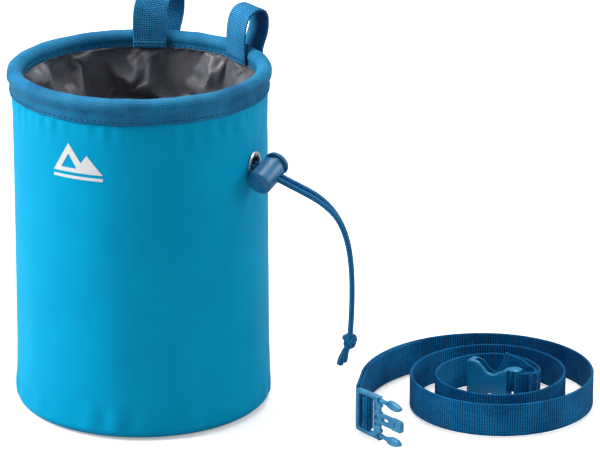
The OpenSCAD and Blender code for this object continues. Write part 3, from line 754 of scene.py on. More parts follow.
def rim_tape():
    """Binding tape rolled over the padded hoop, with a flat band down the outside."""
    arc = np.radians(np.linspace(-48, 222, 28))
    middle_r = ROLL_R - TAPE_T / 2
    roll = np.stack([ROLL_CENTRE_R + middle_r * np.cos(arc), ROLL_Z + middle_r * np.sin(arc)], 1)
    path = np.vstack([[61.52, BAND_Z], [61.5, 157.6], [61.48, 159.2], [61.46, 160.6], roll[1:-1],
                      [56.55, 161.0], [56.5, 160.1]])
    outline, reach, out = strip_section(path, TAPE_T, 0.45, 2.2)
    columns = RIM_RIBS
    angle = ring_angles(columns)
    r = np.repeat(outline[:, 0][:, None], columns, 1)
    z = np.repeat(outline[:, 1][:, None], columns, 1)
    front = (np.abs(out).sum(1) > 0)[:, None]
    rib = (0.08 * np.cos(math.pi * np.arange(columns))[None, :]
           * np.cos(math.pi * np.arange(len(outline)))[:, None])
    waver = 0.12 * ripple(angle[None, :], reach[:, None], 21, (9, 26), 0.12)
    dent = 0.22 * ripple(angle[None, :], reach[:, None], 22, (14, 30), 0.1)
    dent = dent * bump_at(reach[:, None], 5.2, 1.6)
    lift = front * (rib + np.clip(waver, -0.1, 0.14) + np.minimum(dent, 0.05))
    r = r + lift * out[:, 0][:, None]
    z = z + lift * out[:, 1][:, None]
    edge = bump_at(reach[:, None], 0, 1.8)
    z = z + edge * band_wave(angle[None, :])
    around = np.linspace(0, TAU * BODY_R, columns + 1)
    grid = polar(angle[None, :], r, z)
    shape = Shape().grid(grid, u=np.append(reach, reach[0]), v=around, wrap_rows=True, wrap_cols=True)
    shape.piece("rim_tape", TAPE, "bag", "rim_tape", ["rim_binding"])


def rim_stitches():
    """Two rows of stitches: along the band outside and along the tape's inner edge."""
    shape = Shape()
    for count, r, z, length, sink in ((128, 62.0, BAND_Z + 1.2, 2.1, 0.22), (120, 56.05, 161.3, 2.0, -0.2)):
        for k in range(count):
            middle = k * TAU / count
            half = length / r / 2
            rise = float(band_wave(middle)) if sink > 0 else 0.0
            a = polar(middle - half, r, z + rise)
            b = polar(middle + half, r, z + rise)
            capsule(shape, a, b, 0.24, sag=polar(middle, -sink, 0.0))
    shape.piece("rim_stitches", DARK_THREAD, "bag", "thread", ["rim_stitching"])


# ---------------------------------------------------------------- lining

COLLAR_TOP_Z = 160.4
COLLAR_FOOT_Z = 129.2
FOLD_DEPTH = 3.2


def drape(obj, pins, frames, slack, stiffness, bending):
    """Lets a sheet that is larger than its frame buckle into folds, and keeps the result."""
    group = obj.vertex_groups.new(name="pins")
    for index, weight in pins:
        group.add([index], weight, "REPLACE")
    cloth = obj.modifiers.new("cloth", "CLOTH")
    settings = cloth.settings
    settings.quality = 8
    settings.mass = 0.12
    settings.tension_stiffness = stiffness
    settings.compression_stiffness = stiffness
    settings.shear_stiffness = stiffness * 0.4
    settings.bending_stiffness = bending
    settings.air_damping = 3
    settings.vertex_group_mass = "pins"
    settings.pin_stiffness = 5
    settings.shrink_min = -slack
    settings.shrink_max = -slack
    settings.effector_weights.gravity = 0.15
    cloth.collision_settings.use_collision = False
    cloth.collision_settings.use_self_collision = False
    cloth.point_cache.frame_start = 1
    cloth.point_cache.frame_end = frames
    scene = bpy.context.scene
    for number in range(1, frames + 1):
        scene.frame_set(number)
    evaluated = obj.evaluated_get(bpy.context.evaluated_depsgraph_get())
    mesh = evaluated.to_mesh()
    result = np.empty(len(mesh.vertices) * 3)
    mesh.vertices.foreach_get("co", result)
    evaluated.to_mesh_clear()
    obj.modifiers.clear()
    scene.frame_set(1)
    return result.reshape(-1, 3) / MM


def collar_rest(rows, columns):
    """The collar before it buckles: a sleeve from the rim's tape down to the gathered neck."""
    angle = ring_angles(columns)[None, :]
    t = np.linspace(0, 1, rows)[:, None]
    twist = 0.16 * t
    top_r, foot_r = 55.75, 53.9
    r = top_r + (foot_r - top_r) * t - 1.2 * np.sin(math.pi * t)
    r = r - np.sin(math.pi * t) * FOLD_DEPTH * (0.5 + 0.5 * ripple(angle, t, 31, (6, 11), 2.6))
    r = r + 0.35 * smoothstep((t - 0.8) / 0.2) * ripple(angle, 0, 32, (30, 44), 0.0)
    z = COLLAR_TOP_Z + (COLLAR_FOOT_Z - COLLAR_TOP_Z) * t
    return polar(angle + twist, r, z + 0 * angle)


def collar():
    """Loose grey collar: an oversized sleeve, buckled into folds and kept clear of its neighbours."""
    rows, columns = 24, 216
    rest = collar_rest(rows, columns)
    sheet = Shape().grid(rest, u=np.linspace(0, 34, rows), v=np.linspace(0, 344, columns + 1), wrap_cols=True)
    obj = sheet.piece("lining_collar_cloth", LINING, None, "lining_fabric")
    pins = [(c, 1.0) for c in range(columns)] + [((rows - 1) * columns + c, 1.0) for c in range(columns)]
    points = drape(obj, pins, 26, 0.2, 12, 0.9)
    radius = np.hypot(points[:, 0], points[:, 1])
    low, high = 43.0, 57.4
    middle = (low + high) / 2
    reach = (high - low) / 2
    capped = middle + reach * np.tanh((radius - middle) / reach * 1.05) / math.tanh(1.05)
    pinned = np.zeros(rows)
    pinned[[0, -1]] = 1
    share = np.repeat(pinned, columns)
    capped = np.clip(capped * (1 - share) + radius * share, low, 57.6)
    points[:, 0] *= capped / radius
    points[:, 1] *= capped / radius
    points[:, 2] = np.clip(points[:, 2], COLLAR_FOOT_Z - 0.6, COLLAR_TOP_Z)
    obj.data.vertices.foreach_set("co", (points * MM).ravel())
    obj.data.update()
    thick = obj.modifiers.new("thickness", "SOLIDIFY")
    thick.thickness = 0.35 * MM
    thick.offset = 0
    smooth = obj.modifiers.new("smooth", "SUBSURF")
    smooth.levels = smooth.render_levels = 1
    apply_modifiers(obj)
    dress(obj, LINING, "bag", ["lining_collar"])


def neck_channel():
    """Gathered tube that hides the drawcord, between the collar and the inner bag."""
    columns, section = 720, 20
    angle = ring_angles(columns)[:, None]
    round_ = ring_angles(section)[None, :]
    pleat = 0.28 * ripple(angle, 0.4 * np.cos(round_), 41, (60, 96), 1.0, 8)
    tube_r = 2.05 + np.clip(pleat, -0.45, 0.35) * (0.4 + 0.6 * np.abs(np.sin(round_)))
    r = NECK_R + tube_r * np.cos(round_)
    z = NECK_Z + tube_r * np.sin(round_) * 1.02
    grid = polar(angle, r, z)
    u = np.linspace(0, TAU * NECK_R, columns + 1)
    v = np.linspace(0, 13, section + 1)
    Shape().grid(grid, u=u, v=v, wrap_rows=True, wrap_cols=True).piece(
        "neck_channel_gathered", LINING, "bag", "lining_fabric", ["neck_channel"])


def inner_bag():
    """Fleece bag hanging inside the foam, gathered at the neck."""
    columns = 320
    angle = ring_angles(columns)[None, :]
    z = np.concatenate([np.linspace(124.2, 108, 16), np.linspace(104, 10, 34), [7.6, 5.8, 4.7, 4.2]])[:, None]
    r = 54.0 + (INNER_BAG_R - 54.0) * smoothstep((124.2 - z) / 15) - 4.2 * smoothstep((8.5 - z) / 4.4) ** 1.5
    fall = smoothstep((124 - z) / 10) * smoothstep((z - 5) / 8)
    soft = 1.0 * ripple(angle, z, 51, (5, 14), 0.05) + 0.5 * ripple(angle, z, 52, (18, 30), 0.1)
    gather = 0.5 * ripple(angle, z, 53, (44, 70), 0.02, 8) * np.exp(-(((124.2 - z) / 12) ** 2))
    inward = np.abs(soft) * fall + np.abs(gather)
    inside = polar(angle, r - 0.75 - inward, z)
    outside = polar(angle, (r - 0.05)[::-4], z[::-4])
    shape = Shape().grid(np.concatenate([inside, outside]), wrap_rows=True, wrap_cols=True)
    shape.piece("inner_bag_fleece", FLEECE, "bag", "fleece", ["inner_bag"])


def inner_base():
    """Round fleece floor of the inner bag."""
    columns = 192
    angle = ring_angles(columns)[None, :]
    r = np.array([0.02, 8, 16, 24, 32, 40, 46, 50, 52.4, 53.1])[:, None]
    low_z = box_mm("inner_base")[0][2]
    rise = 0.6 + np.clip(0.35 * ripple(angle, r, 61, (2, 9), 0.2), -0.3, 0.9) * (r < 52)
    top = polar(angle, r, low_z + rise)
    under = polar(angle, r[::-1], np.full_like(rise, low_z + 0.02))
    Shape().grid(np.concatenate([top, under]), wrap_rows=True, wrap_cols=True, flip=True).piece(
        "inner_base_fleece", FLEECE, "bag", "fleece", ["inner_base"])


# ---------------------------------------------------------------- webbing

def webbing(shape, line, sides, ups, at, wide, thick, pitch_along, pitch_across, relief, edge=0.0):
    """A woven strap along a line of points, with raised picks and rounded edges.

    sides point out of the strap's face and ups run across its width."""
    rows = int(round(wide / pitch_across))
    half = wide / 2
    bead = thick / 2 + edge
    across = np.linspace(half - 0.55, -half + 0.55, 2 * rows + 1)
    turn = np.radians([60, 0, -60])
    points, normals = [], []
    for y in across:
        points.append((thick / 2, y))
        normals.append((1, 0))
    for a in turn:
        points.append((bead * math.sin(a), -half + 0.55 - 0.55 * math.cos(a)))
        normals.append((0, 0))
    for y in across[::-1]:
        points.append((-thick / 2, y))
        normals.append((-1, 0))
    for a in -turn:
        points.append((bead * math.sin(a), half - 0.55 + 0.55 * math.cos(a)))
        normals.append((0, 0))
    points, normals = np.array(points), np.array(normals, float)
    column = np.arange(len(points))
    row = np.arange(len(line))
    check = np.cos(math.pi * row)[:, None] * np.cos(math.pi * column)[None, :]
    rib = np.cos(math.pi * row)[:, None] * np.ones(len(points))[None, :]
    lift = relief * (0.55 * check + 0.45 * rib) * normals[None, :, 0]
    beads = relief * np.cos(math.pi * row)[:, None] * (normals[:, 0] == 0)[None, :]
    x = points[None, :, 0] + lift + beads * np.sign(points[None, :, 0])
    y = np.repeat(points[None, :, 1], len(line), 0)
    grid = line[:, None, :] + x[..., None] * sides[:, None, :] + y[..., None] * ups[:, None, :]
    v = np.append(points[:, 1], points[0, 1]) + half
    shape.grid(grid, u=at, v=v, wrap_cols=True, caps=True, flip=True)
    return shape


def bezier(points, t):
    """Points of a cubic curve through its first and last control points."""
    a, b, c, d = (np.asarray(p, float) for p in points)
    t = np.asarray(t)[:, None]
    return (1 - t) ** 3 * a + 3 * t * (1 - t) ** 2 * b + 3 * t * t * (1 - t) * c + t ** 3 * d


LEG_IN = ROLL_CENTRE_R - ROLL_R - 0.8 - LOOP_T / 2
LEG_OUT = ROLL_CENTRE_R + ROLL_R + 0.3 + LOOP_T / 2
LEG_FOOT_Z = ROLL_Z - ROLL_R - 0.4
LOOP_TURN = -3.5
LOOP_ANGLE = 27
LEFT_SKEW = 0.6


def loop_points():
    """The loop's centre line as (distance from the bag's axis, height)."""
    top = np.array([(LEG_IN + LEG_OUT) / 2 + 3.4, BAG_H + LOOP_H - LOOP_T / 2])
    bow = np.array([LEG_OUT + 3.4, BAG_H + LOOP_H * 0.5])
    t = np.arange(0.125, 1.001, 0.125)
    first = bezier([(LEG_IN, ROLL_Z + 1), (LEG_IN - 0.8, BAG_H + LOOP_H * 0.55), top - [7, 0], top],
                   np.arange(0, 1.001, 0.125))
    second = bezier([top, top + [5, 0], bow + [0.3, 5], bow], t)
    third = bezier([bow, bow - [0.3, 5], (LEG_OUT, ROLL_Z + 5), (LEG_OUT, ROLL_Z)], t)
    return np.vstack([[(LEG_IN, LEG_FOOT_Z)], first, second, third, [(LEG_OUT, LEG_FOOT_Z)]])


def belt_loops():
    """Two loops of coarse webbing at the back of the rim, with their bar tacks."""
    flat, at = spline(loop_points(), 0.45)
    tacks = Shape()
    for name, degrees in (("belt_loop_left", 90 + LOOP_TURN + LOOP_ANGLE),
                          ("belt_loop_right", 90 + LOOP_TURN - LOOP_ANGLE)):
        out = np.array([math.cos(math.radians(degrees)), math.sin(math.radians(degrees)), 0])
        across = np.array([-out[1], out[0], 0])
        skew = LEFT_SKEW if name == "belt_loop_left" else 0.0
        line = flat[:, 0][:, None] * out + flat[:, 1][:, None] * np.array([0, 0, 1.0])
        line = line - skew * (flat[:, 0] - LEG_IN)[:, None] * across
        d = directions(line)
        ups = across - 0.5 * (d @ across)[:, None] * d
        ups = ups / np.linalg.norm(ups, axis=1)[:, None]
        sides = np.cross(ups, d)
        shape = webbing(Shape(), line, sides, ups, at, WEB_W, 1.1, 1.2, 1.1, 0.13)
        shape.piece(name + "_webbing", LOOP, "bag", "webbing", [name])
        for leg, face in ((-1, LEG_IN - LOOP_T / 2), (1, LEG_OUT + LOOP_T / 2)):
            for row, z in enumerate((LEG_FOOT_Z + 1.3, LEG_FOOT_Z + 2.7)):
                for k in range(16):
                    y = (k - 7.5) * (WEB_W - 1.6) / 16 - skew * (face - LEG_IN)
                    slant = 0.64 if (k + row) % 2 else -0.64
                    middle = out * (face + leg * 0.24) + across * y + np.array([0, 0, z])
                    reach = across * 0.45 + np.array([0, 0, slant])
                    capsule(tacks, middle - reach, middle + reach, 0.26, sag=-out * leg * 0.3)
    tacks.piece("loop_bar_tacks", THREAD, "bag", "thread", ["loop_stitching"])


# The belt's line is worked out flat, as complex numbers x + iy, about the coil's own middle
BELT_TURN = 29
BELT_REACH = 165
COIL_CENTRE_Y = -14.5
COIL_START = 189
COIL_SWEEP = 918
COIL_STEP = 9
COIL_R0 = 52
COIL_TIGHTEN = 12.5
COIL_WOBBLE = 7.5
COIL_WOBBLE_AT = 235
COIL_FLARE = 12.5
COIL_FLARE_LEN = 80
MALE_LEAD_LEN = 21.5
MALE_LEAD_R = 12
MALE_LEAD_TURN = 44
FEMALE_LEAD_R = 5.6
FEMALE_HEADING = 148
MALE_GAP = 1.5
FEMALE_GAP = 1.2
TAIL_STATIONS = 13
GAP = 0.1
LAYER = WEB_T / 2 + GAP
FRAME_H = WEB_W + 5.6
FRAME_T = 2.6
FRAME_LEN = 17.8
FRAME_RISE = 0.8
OUTER_BAR = 2.4
SLOT_END = 13.1
MALE_BACK = 3.5
MID_BAR_X = 7.6
MID_BAR_R = 1.2
FEMALE_H = FRAME_H - 0.7
FEMALE_LEN = 27.0
FEMALE_T = 6.4
FEMALE_BAR_R = 1.15
FEMALE_SKIN = 1.1
FEMALE_SIDE = 0.8
FEMALE_RAIL = 2.05
CATCH_X = 23.1
CATCH_WINDOW_T = 3.2
MOUTH_NECK_H = 17.2
MOUTH_NECK_X = 12.0
MOUTH_NECK_FROM = 6.8
MOUTH_REACH = 30
FEMALE_TAPER = 1.25
FEMALE_DIP = ((24.0, 0.0), (22.0, 0.25), (20.0, 1.0), (18.2, 2.5), (16.6, 4.4), (14.8, 5.3),
              (12.8, 5.3), (10.8, 4.5), (8.6, 3.2), (6.2, 2.0), (3.6, 1.4))
FOLD_STATIONS = 8
LOOSE_LENGTH = 17.0
LOOSE_LEAN = 0.3
LOOSE_END = ((-4.5, -8.9, 0.1), (-2.6, -10.1, 0.4), (0.8, -10.6, 1.1), (5.2, -10.2, 2.3),
             (9.8, -9.7, 3.7), (15.0, -9.4, 5.3))


def unit(degrees):
    """Direction as a complex number of length 1."""
    return cmath.exp(1j * math.radians(degrees))


def facing(a, b):
    """Heading from a to b, in degrees."""
    return math.degrees(cmath.phase(b - a))


def coil_point(s):
    """Point of the coil after s degrees: an oval spiral whose start leads outwards."""
    r = COIL_R0 - COIL_TIGHTEN * s / 360 + COIL_WOBBLE * math.cos(math.radians(s - COIL_WOBBLE_AT))
    r = r + COIL_FLARE * math.exp(-s / COIL_FLARE_LEN)
    return r * unit(COIL_START - s)


def after_arc(start, heading, r, turn, steps):
    """Points along an arc of radius r that leaves start and turns by so many degrees."""
    side = math.copysign(1, turn)
    centre = start + 1j * side * r * unit(heading)
    return [centre - 1j * side * r * unit(heading + turn * i / steps) for i in range(1, steps + 1)]


class BeltLine:
    """The belt's course: the guide between its two layers, and where each buckle sits."""

    male_plane = FRAME_T / 2 + GAP + WEB_T / 2 + LAYER + 0.1

    def __init__(self):
        first, heading = coil_point(0), facing(coil_point(2), coil_point(0))
        male_bend = first + MALE_LEAD_LEN * unit(heading)
        male_arc = after_arc(male_bend, heading, MALE_LEAD_R, MALE_LEAD_TURN, 4)
        self.male_heading = heading + MALE_LEAD_TURN
        self.male_guide = male_arc[-1] + MALE_GAP * unit(self.male_heading)
        end = coil_point(COIL_SWEEP)
        last_heading = facing(coil_point(COIL_SWEEP - 2), end)
        female_bend = end + 5 * unit(last_heading)
        self.female_heading = FEMALE_HEADING
        female_arc = after_arc(female_bend, last_heading, FEMALE_LEAD_R,
                               FEMALE_HEADING - 360 - last_heading, 8)
        self.female_guide = female_arc[-1] + FEMALE_GAP * unit(FEMALE_HEADING)
        coil = [coil_point(s) for s in range(0, COIL_SWEEP + 1, COIL_STEP)]
        self.guide = ([self.male_guide] + male_arc[::-1] + [male_bend] + coil + [female_bend]
                      + female_arc + [self.female_guide])
        self.last = len(self.guide) - 1

    def heading_at(self, i):
        return facing(self.guide[max(0, i - 1)], self.guide[min(self.last, i + 1)])

    def beside(self, i, offset):
        return self.guide[i] - 1j * offset * unit(self.heading_at(i))

    def height_at(self, i):
        male = abs(self.guide[i] - self.guide[0])
        female = abs(self.guide[i] - self.guide[-1])
        rise = 0.0
        if i < len(self.guide) / 2:
            rise = ((FRAME_H - WEB_W) / 2 + FRAME_RISE) * float(smoothstep(1 - (male - 8) / 26))
        elif i > len(self.guide) - 14:
            rise = (FEMALE_H - WEB_W) / 2 * float(smoothstep(1 - (female - 3) / 18))
        return WEB_W / 2 + rise

    def spread(self, i):
        wrap = FEMALE_BAR_R + GAP + WEB_T / 2
        return LAYER + (wrap - LAYER) * float(smoothstep(1 - (self.last - i) / 3))

    def layer(self, indices, side):
        return [(self.beside(i, side * self.spread(i)), self.height_at(i)) for i in indices]

    def male_xy(self, p):
        return self.male_guide + unit(self.male_heading) * (p - MALE_BACK - 1j * self.male_plane)

    def points(self):
        """World points along the whole belt, from its free tail to the end sewn behind the female buckle."""
        plane = self.male_plane
        r = MID_BAR_R + GAP + WEB_T / 2
        near_y = plane - LAYER
        rise = 1.25
        wrap = [MID_BAR_X - 1.4 + 1j * (plane + LAYER)]
        wrap += [MID_BAR_X + r * unit(a) for a in np.linspace(55, -195, 13)]
        wrap += [MID_BAR_X - 2 - rise + 1j * (near_y - rise) + rise * unit(a) for a in (15, 40, 65, 90)]
        male_z = FRAME_H / 2 + FRAME_RISE
        fold_r = FEMALE_BAR_R + GAP + WEB_T / 2
        fold = [self.female_guide + fold_r * unit(a + self.female_heading) for a in np.linspace(90, -90, 9)]
        line = self.layer(range(TAIL_STATIONS, -1, -1), 1)
        line += [(self.male_xy(p), male_z) for p in wrap]
        line += self.layer(range(self.last), -1)
        line += [(p, FEMALE_H / 2) for p in fold]
        line += self.layer(range(self.last - 1, self.last - FOLD_STATIONS - 1, -1), 1)
        loose_z = self.height_at(self.last - FOLD_STATIONS - 1)
        line += [(self.female_guide + (x + 1j * y) * unit(self.female_heading), loose_z + rise)
                 for x, y, rise in LOOSE_END]
        out = []
        for p, z in line:
            world = to_world(p)
            if not out or abs(complex(out[-1][0], out[-1][1]) - world) > 0.2:
                out.append((world.real, world.imag, z))
        return np.array(out)


def to_world(p):
    """From the coil's own plane to the ground beside the bag."""
    return unit(BELT_TURN) * (p + BELT_REACH + 1j * COIL_CENTRE_Y)


belt_line = BeltLine()


def belt():
    """The whole strap, upright on its edge, with its loose end leaning over."""
    line, at = spline(belt_line.points(), 0.6)
    flat = directions(line * [1, 1, 0])
    along = directions(line)
    loose = smoothstep((at - at[-1] + LOOSE_LENGTH) / 8)[:, None]
    ups = np.array([[0, 0, 1.0]]) - loose * along[:, 2:] * along + loose * LOOSE_LEAN * np.array([0, 1.0, 0])
    ups = ups / np.linalg.norm(ups, axis=1)[:, None]
    sides = np.cross(flat, ups)
    sides = sides / np.linalg.norm(sides, axis=1)[:, None]
    shape = webbing(Shape(), line, sides, ups, at, WEB_W, 1.12, 1.2, 1.3, 0.11, edge=0.03)
    shape.piece("belt_strap", BELT, "belt", "webbing", ["belt_webbing"])


def belt_tacks():
    """Dense bar tacks across the fold behind the female buckle."""
    shape = Shape()
    for i in (belt_line.last - 6, belt_line.last - 4):
        for side in (-1, 1):
            reach = belt_line.spread(i) + WEB_T / 2 + 0.12
            for k in range(22):
                p = to_world(belt_line.beside(i, side * reach))
                sag = -1j * -side * 0.2 * unit(belt_line.heading_at(i) + BELT_TURN)
                d = unit(belt_line.heading_at(i) + BELT_TURN) * (0.8 if k % 2 else -0.8)
                z = belt_line.height_at(i) + (k - 10.5) * (WEB_W - 2) / 22
                ends = [(q.real, q.imag, height) for q, height in ((p - d, z), (p + d, z + 0.5))]
                capsule(shape, *ends, 0.2, sag=(sag.real, sag.imag, 0))
    shape.piece("belt_bar_tacks", THREAD, "belt", "thread", ["belt_stitching"])


# ---------------------------------------------------------------- eyelet and drawcord

X_FORWARD = Matrix(((0, 0, 1, 0), (0, 1, 0, 0), (-1, 0, 0, 0), (0, 0, 0, 1)))


def ring_profile(inner_r, outer_r, low, high, roll):
    """Outline of a pressed ring whose face curls over at both edges."""
    outline = [(inner_r, low), (outer_r, low), (outer_r, high - 0.25), (outer_r - 0.5, high),
               (inner_r + 0.5, high + roll), (inner_r, high - 0.1)]
    return rounded(outline, [0.1, 0.2, 0.3, 0.6, 0.6, 0.4], 4)


def eyelet():
    """Two-part nickel eyelet in the bag's right side."""
    place = Matrix.Translation((0, 0, NECK_Z)) @ X_FORWARD
    face = Shape()
    inside = box_mm("eyelet_face")[0][0]
    bore, barrel, flange = 3.62, 4.0, 5.8
    outline = rounded([(bore, inside), (barrel, inside), (barrel, 61.12), (flange, 61.12), (flange, 61.5),
                       (5.2, 61.88), (4.4, 61.95), (bore, 61.7)],
                      [0.1, 0.1, 0.1, 0.15, 0.3, 0.4, 0.5, 0.4], 4)
    lathe(face, outline[::-1], 64, place)
    face.piece("eyelet_ring", NICKEL, "bag", "eyelet_metal", ["eyelet_face"])
    low = box_mm("eyelet_washer")[0][0]
    washer = Shape()
    lathe(washer, ring_profile(4.06, 5.4, low, low + 0.55, 0.0)[::-1], 64, place)
    washer.piece("eyelet_washer_ring", NICKEL, "bag", "eyelet_metal", ["eyelet_washer"])


def braid(along, angle):
    """Diamond relief of a braided cord."""
    twist = TAU * along / PLAIT_LENGTH
    return 0.07 * np.sin(twist + PLAITS * angle) * np.sin(twist - PLAITS * angle) - 0.03


CORD_OUT = np.array([math.cos(CORD_SLOPE), 0, -math.sin(CORD_SLOPE)])
LOCK_AXIS = np.array([math.sin(LOCK_ROLL) * math.sin(CORD_SLOPE), math.cos(LOCK_ROLL),
                      math.sin(LOCK_ROLL) * math.cos(CORD_SLOPE)])
CORD_START = np.array([BODY_R + 1.5, 0, NECK_Z - 1.2])
STRAIGHT_LEN = 27
STRAND_END = CORD_START + STRAIGHT_LEN * CORD_OUT
KNOT = STRAND_END + np.array([23.5, 0, -71])
SEAM_X = 56.4
NECK_GAP = 14
STRAND_APART = (CORD_R + 0.12) * np.array([-math.sin(math.radians(26)), math.cos(math.radians(26)), 0])


def strand_offset(side):
    """From the middle of the two strands to one of them, where they run through the lock."""
    return side * (CORD_R + 0.05) * LOCK_AXIS


def lead_out(side):
    """From the channel in the neck to the eyelet, one strand each side of its axis."""
    turn = math.radians(NECK_GAP)
    start = (NECK_R * math.cos(turn), side * NECK_R * math.sin(turn), NECK_Z)
    offset = strand_offset(side)
    before_eyelet = np.array([NECK_R - 3.7, 0, NECK_Z - 1]) + offset
    return bezier([start, (NECK_R - 0.7, side * 3.5, NECK_Z), before_eyelet, CORD_START + offset],
                  np.linspace(0, 1, 13))


def drawcord():
    """The ring of cord in the neck, its two strands out to the knot, and the knot itself."""
    ring = Shape()
    angle = np.radians(np.linspace(NECK_GAP, 360 - NECK_GAP, 61))
    round_neck = polar(angle, NECK_R, NECK_Z)
    lead_in, lead_back = lead_out(1), lead_out(-1)
    inside = [p for p in lead_in if p[0] < SEAM_X]
    inside_back = [p for p in lead_back if p[0] < SEAM_X]
    path = np.vstack([inside[::-1], round_neck[1:-1], inside_back])
    tube(ring, path, CORD_R - 0.02, 12, braid, 0.6, (0, 0, 1))
    ring.piece("drawcord_in_neck", CORD, "bag", "cord", ["drawcord_ring"])

    strands = Shape()
    for side in (-1, 1):
        lead = [p for p in lead_out(side) if p[0] >= SEAM_X - 2.5]
        offset = strand_offset(side)
        t = np.linspace(0, 1, 15)
        hang = bezier([STRAND_END, STRAND_END + 22 * CORD_OUT, KNOT + [4, 0, 52], KNOT], t)
        share = smoothstep(t * 12 / 5)[:, None]
        hang = hang + (1 - share) * offset + share * side * STRAND_APART
        straight = CORD_START + offset + np.linspace(4, 20, 4)[:, None] * CORD_OUT
        tube(strands, np.vstack([lead, straight, hang]), CORD_R, 18, braid, 0.45)
    obj = strands.piece("drawcord_strands", CORD, None, "cord", ["drawcord_tail"])
    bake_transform(obj)

    knot = Shape()
    t = np.linspace(0, TAU, 73)
    loops = np.stack([np.sin(t) + 2 * np.sin(2 * t), -1.3 * np.sin(3 * t), np.cos(t) - 2 * np.cos(2 * t)], 1)
    tube(knot, KNOT + 0.86 * loops, CORD_R + 0.3, 20, braid, 0.4, (0, 1, 0))
    core = KNOT + np.array([[0.3, 0, 3.6], [0, 0, 1.2], [-0.2, 0, -1.2], [-0.7, 0, -3.6]])
    tube(knot, core, CORD_R + 0.8, 20, braid, 0.4, (0, 1, 0))
    knot.piece("drawcord_knot", CORD, "drawcord", "cord")

    ends = Shape()
    for side in (-1, 1):
        t = np.linspace(0, 1, 6)[:, None]
        path = KNOT + [0, 0, -1] + t * np.array([-4.2, side * 2.0, -11.2]) + np.sin(math.pi * t) * np.array(
            [-0.6, side * 0.8, 0])
        tube(ends, path, CORD_R, 18, lambda s, a: braid(s, a) + 0.34 * smoothstep((s - 6) / 4), 0.45)
    ends.piece("drawcord_ends", CORD, "drawcord", "cord")


# ---------------------------------------------------------------- cord lock

def lock_place():
    """The lock's frame in mm: Z along the barrel towards the button, X along the cord."""
    z_axis = Vector(LOCK_AXIS)
    x_axis = Vector(CORD_OUT)
    y_axis = z_axis.cross(x_axis)
    turn = Matrix((x_axis, y_axis, z_axis)).transposed().to_4x4()
    middle = CORD_START + LOCK_AT * CORD_OUT
    return Matrix.Translation(Vector(middle)) @ turn @ Matrix.Translation((0, 0, -CORD_HOLE_Y))


def metres(place):
    """The same placing for a mesh that is already in metres."""
    out = place.copy()
    out.translation = place.translation * MM
    return out


def cut_cord_slot(obj, place, extra=0.0):
    """Cuts the slot that both strands run through, longer by extra towards the button."""
    low, high = CORD_HOLE_Y - CORD_SLOT_HALF, CORD_HOLE_Y + CORD_SLOT_HALF + extra
    middle = metres(place @ Matrix.Translation((0, 0, (low + high) / 2)))
    combine(obj, "DIFFERENCE", [cutter_box((20, 2 * CORD_R + 0.3, high - low), middle)])


def cord_lock():
    """Barrel, spring-loaded button and the spring between them."""
    place = lock_place()
    barrel = Shape()
    outline = rounded([(0.01, 0.05), (3.4, 0.0), (LOCK_R - 0.9, 0.45), (LOCK_R - 0.05, 1.5), (LOCK_R, 5.0),
                       (LOCK_R, LOCK_LEN), (4.72, LOCK_LEN), (4.72, 1.7), (0.01, 1.7)],
                      [0.05, 1.0, 0.7, 0.8, 1.0, 0.35, 0.2, 0.4, 0.05], 4)
    lathe(barrel, outline, 72, place)
    obj = barrel.piece("cord_lock_barrel", LOCK, None, "lock_plastic")
    cut_cord_slot(obj, place)
    dress(obj, LOCK, "cord_lock", ["lock_barrel"])

    button = Shape()
    head = LOCK_LEN + 2.7
    outline = rounded([(0.01, 5.5), (4.6, 5.5), (4.6, head + 0.3), (LOCK_R - 0.4, head),
                       (LOCK_R, head + 0.5), (LOCK_R - 0.3, head + 1.8), (LOCK_R - 1.3, head + 2.7),
                       (2.5, head + 2.98), (0.01, head + 3)],
                      [0.05, 0.3, 0.3, 0.4, 0.5, 0.8, 0.8, 0.6, 0.05], 4)
    lathe(button, outline, 72, place)
    obj = button.piece("cord_lock_button", LOCK, None, "lock_plastic")
    cut_cord_slot(obj, place, LOCK_PRESS)
    dress(obj, LOCK, "lock_button", ["lock_plunger"])

    spring = Shape()
    turns = np.linspace(0, 4 * TAU, 97)
    coil = np.stack([2.6 * np.cos(turns), 2.6 * np.sin(turns), 2.05 + 2.9 * turns / turns[-1]], 1)
    world = coil @ np.array(place.to_3x3()).T + np.array(place.translation)
    tube(spring, world, 0.28, 8, None, 0.4, tuple(LOCK_AXIS))
    obj = spring.piece("cord_lock_spring", SPRING, "cord_lock", "hoop_wire", ["lock_spring"])
    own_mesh(obj)


# ---------------------------------------------------------------- buckles

def plate(name, outlines, thick, bevel, place, material):
    """A flat moulding: the first outline is its edge and the rest are holes, all in (x, height) mm."""
    curve = bpy.data.curves.new(name, "CURVE")
    curve.dimensions = "2D"
    curve.fill_mode = "BOTH"
    curve.extrude = (thick / 2 - bevel) * MM
    curve.bevel_depth = bevel * MM
    curve.bevel_resolution = 3
    curve.offset = -bevel * MM
    for outline in outlines:
        line = curve.splines.new("POLY")
        line.points.add(len(outline) - 1)
        for point, (x, y) in zip(line.points, outline):
            point.co = (x * MM, y * MM, 0, 1)
        line.use_cyclic_u = True
    flat = add_object(name, curve)
    bpy.context.view_layer.update()
    mesh = bpy.data.meshes.new_from_object(flat.evaluated_get(bpy.context.evaluated_depsgraph_get()))
    bpy.data.objects.remove(flat)
    mesh.transform(place @ Matrix.Rotation(math.pi / 2, 4, "X"))
    obj = add_object(name, mesh)
    weld = obj.modifiers.new("weld", "WELD")
    weld.merge_threshold = 0.00001
    apply_modifiers(obj)
    face_outwards(obj.data)
    obj.data.materials.append(material)
    return obj


def face_outwards(mesh):
    """Turns every face of a closed mesh outwards."""
    work = bmesh.new()
    work.from_mesh(mesh)
    bmesh.ops.recalc_face_normals(work, faces=work.faces)
    work.to_mesh(mesh)
    work.free()


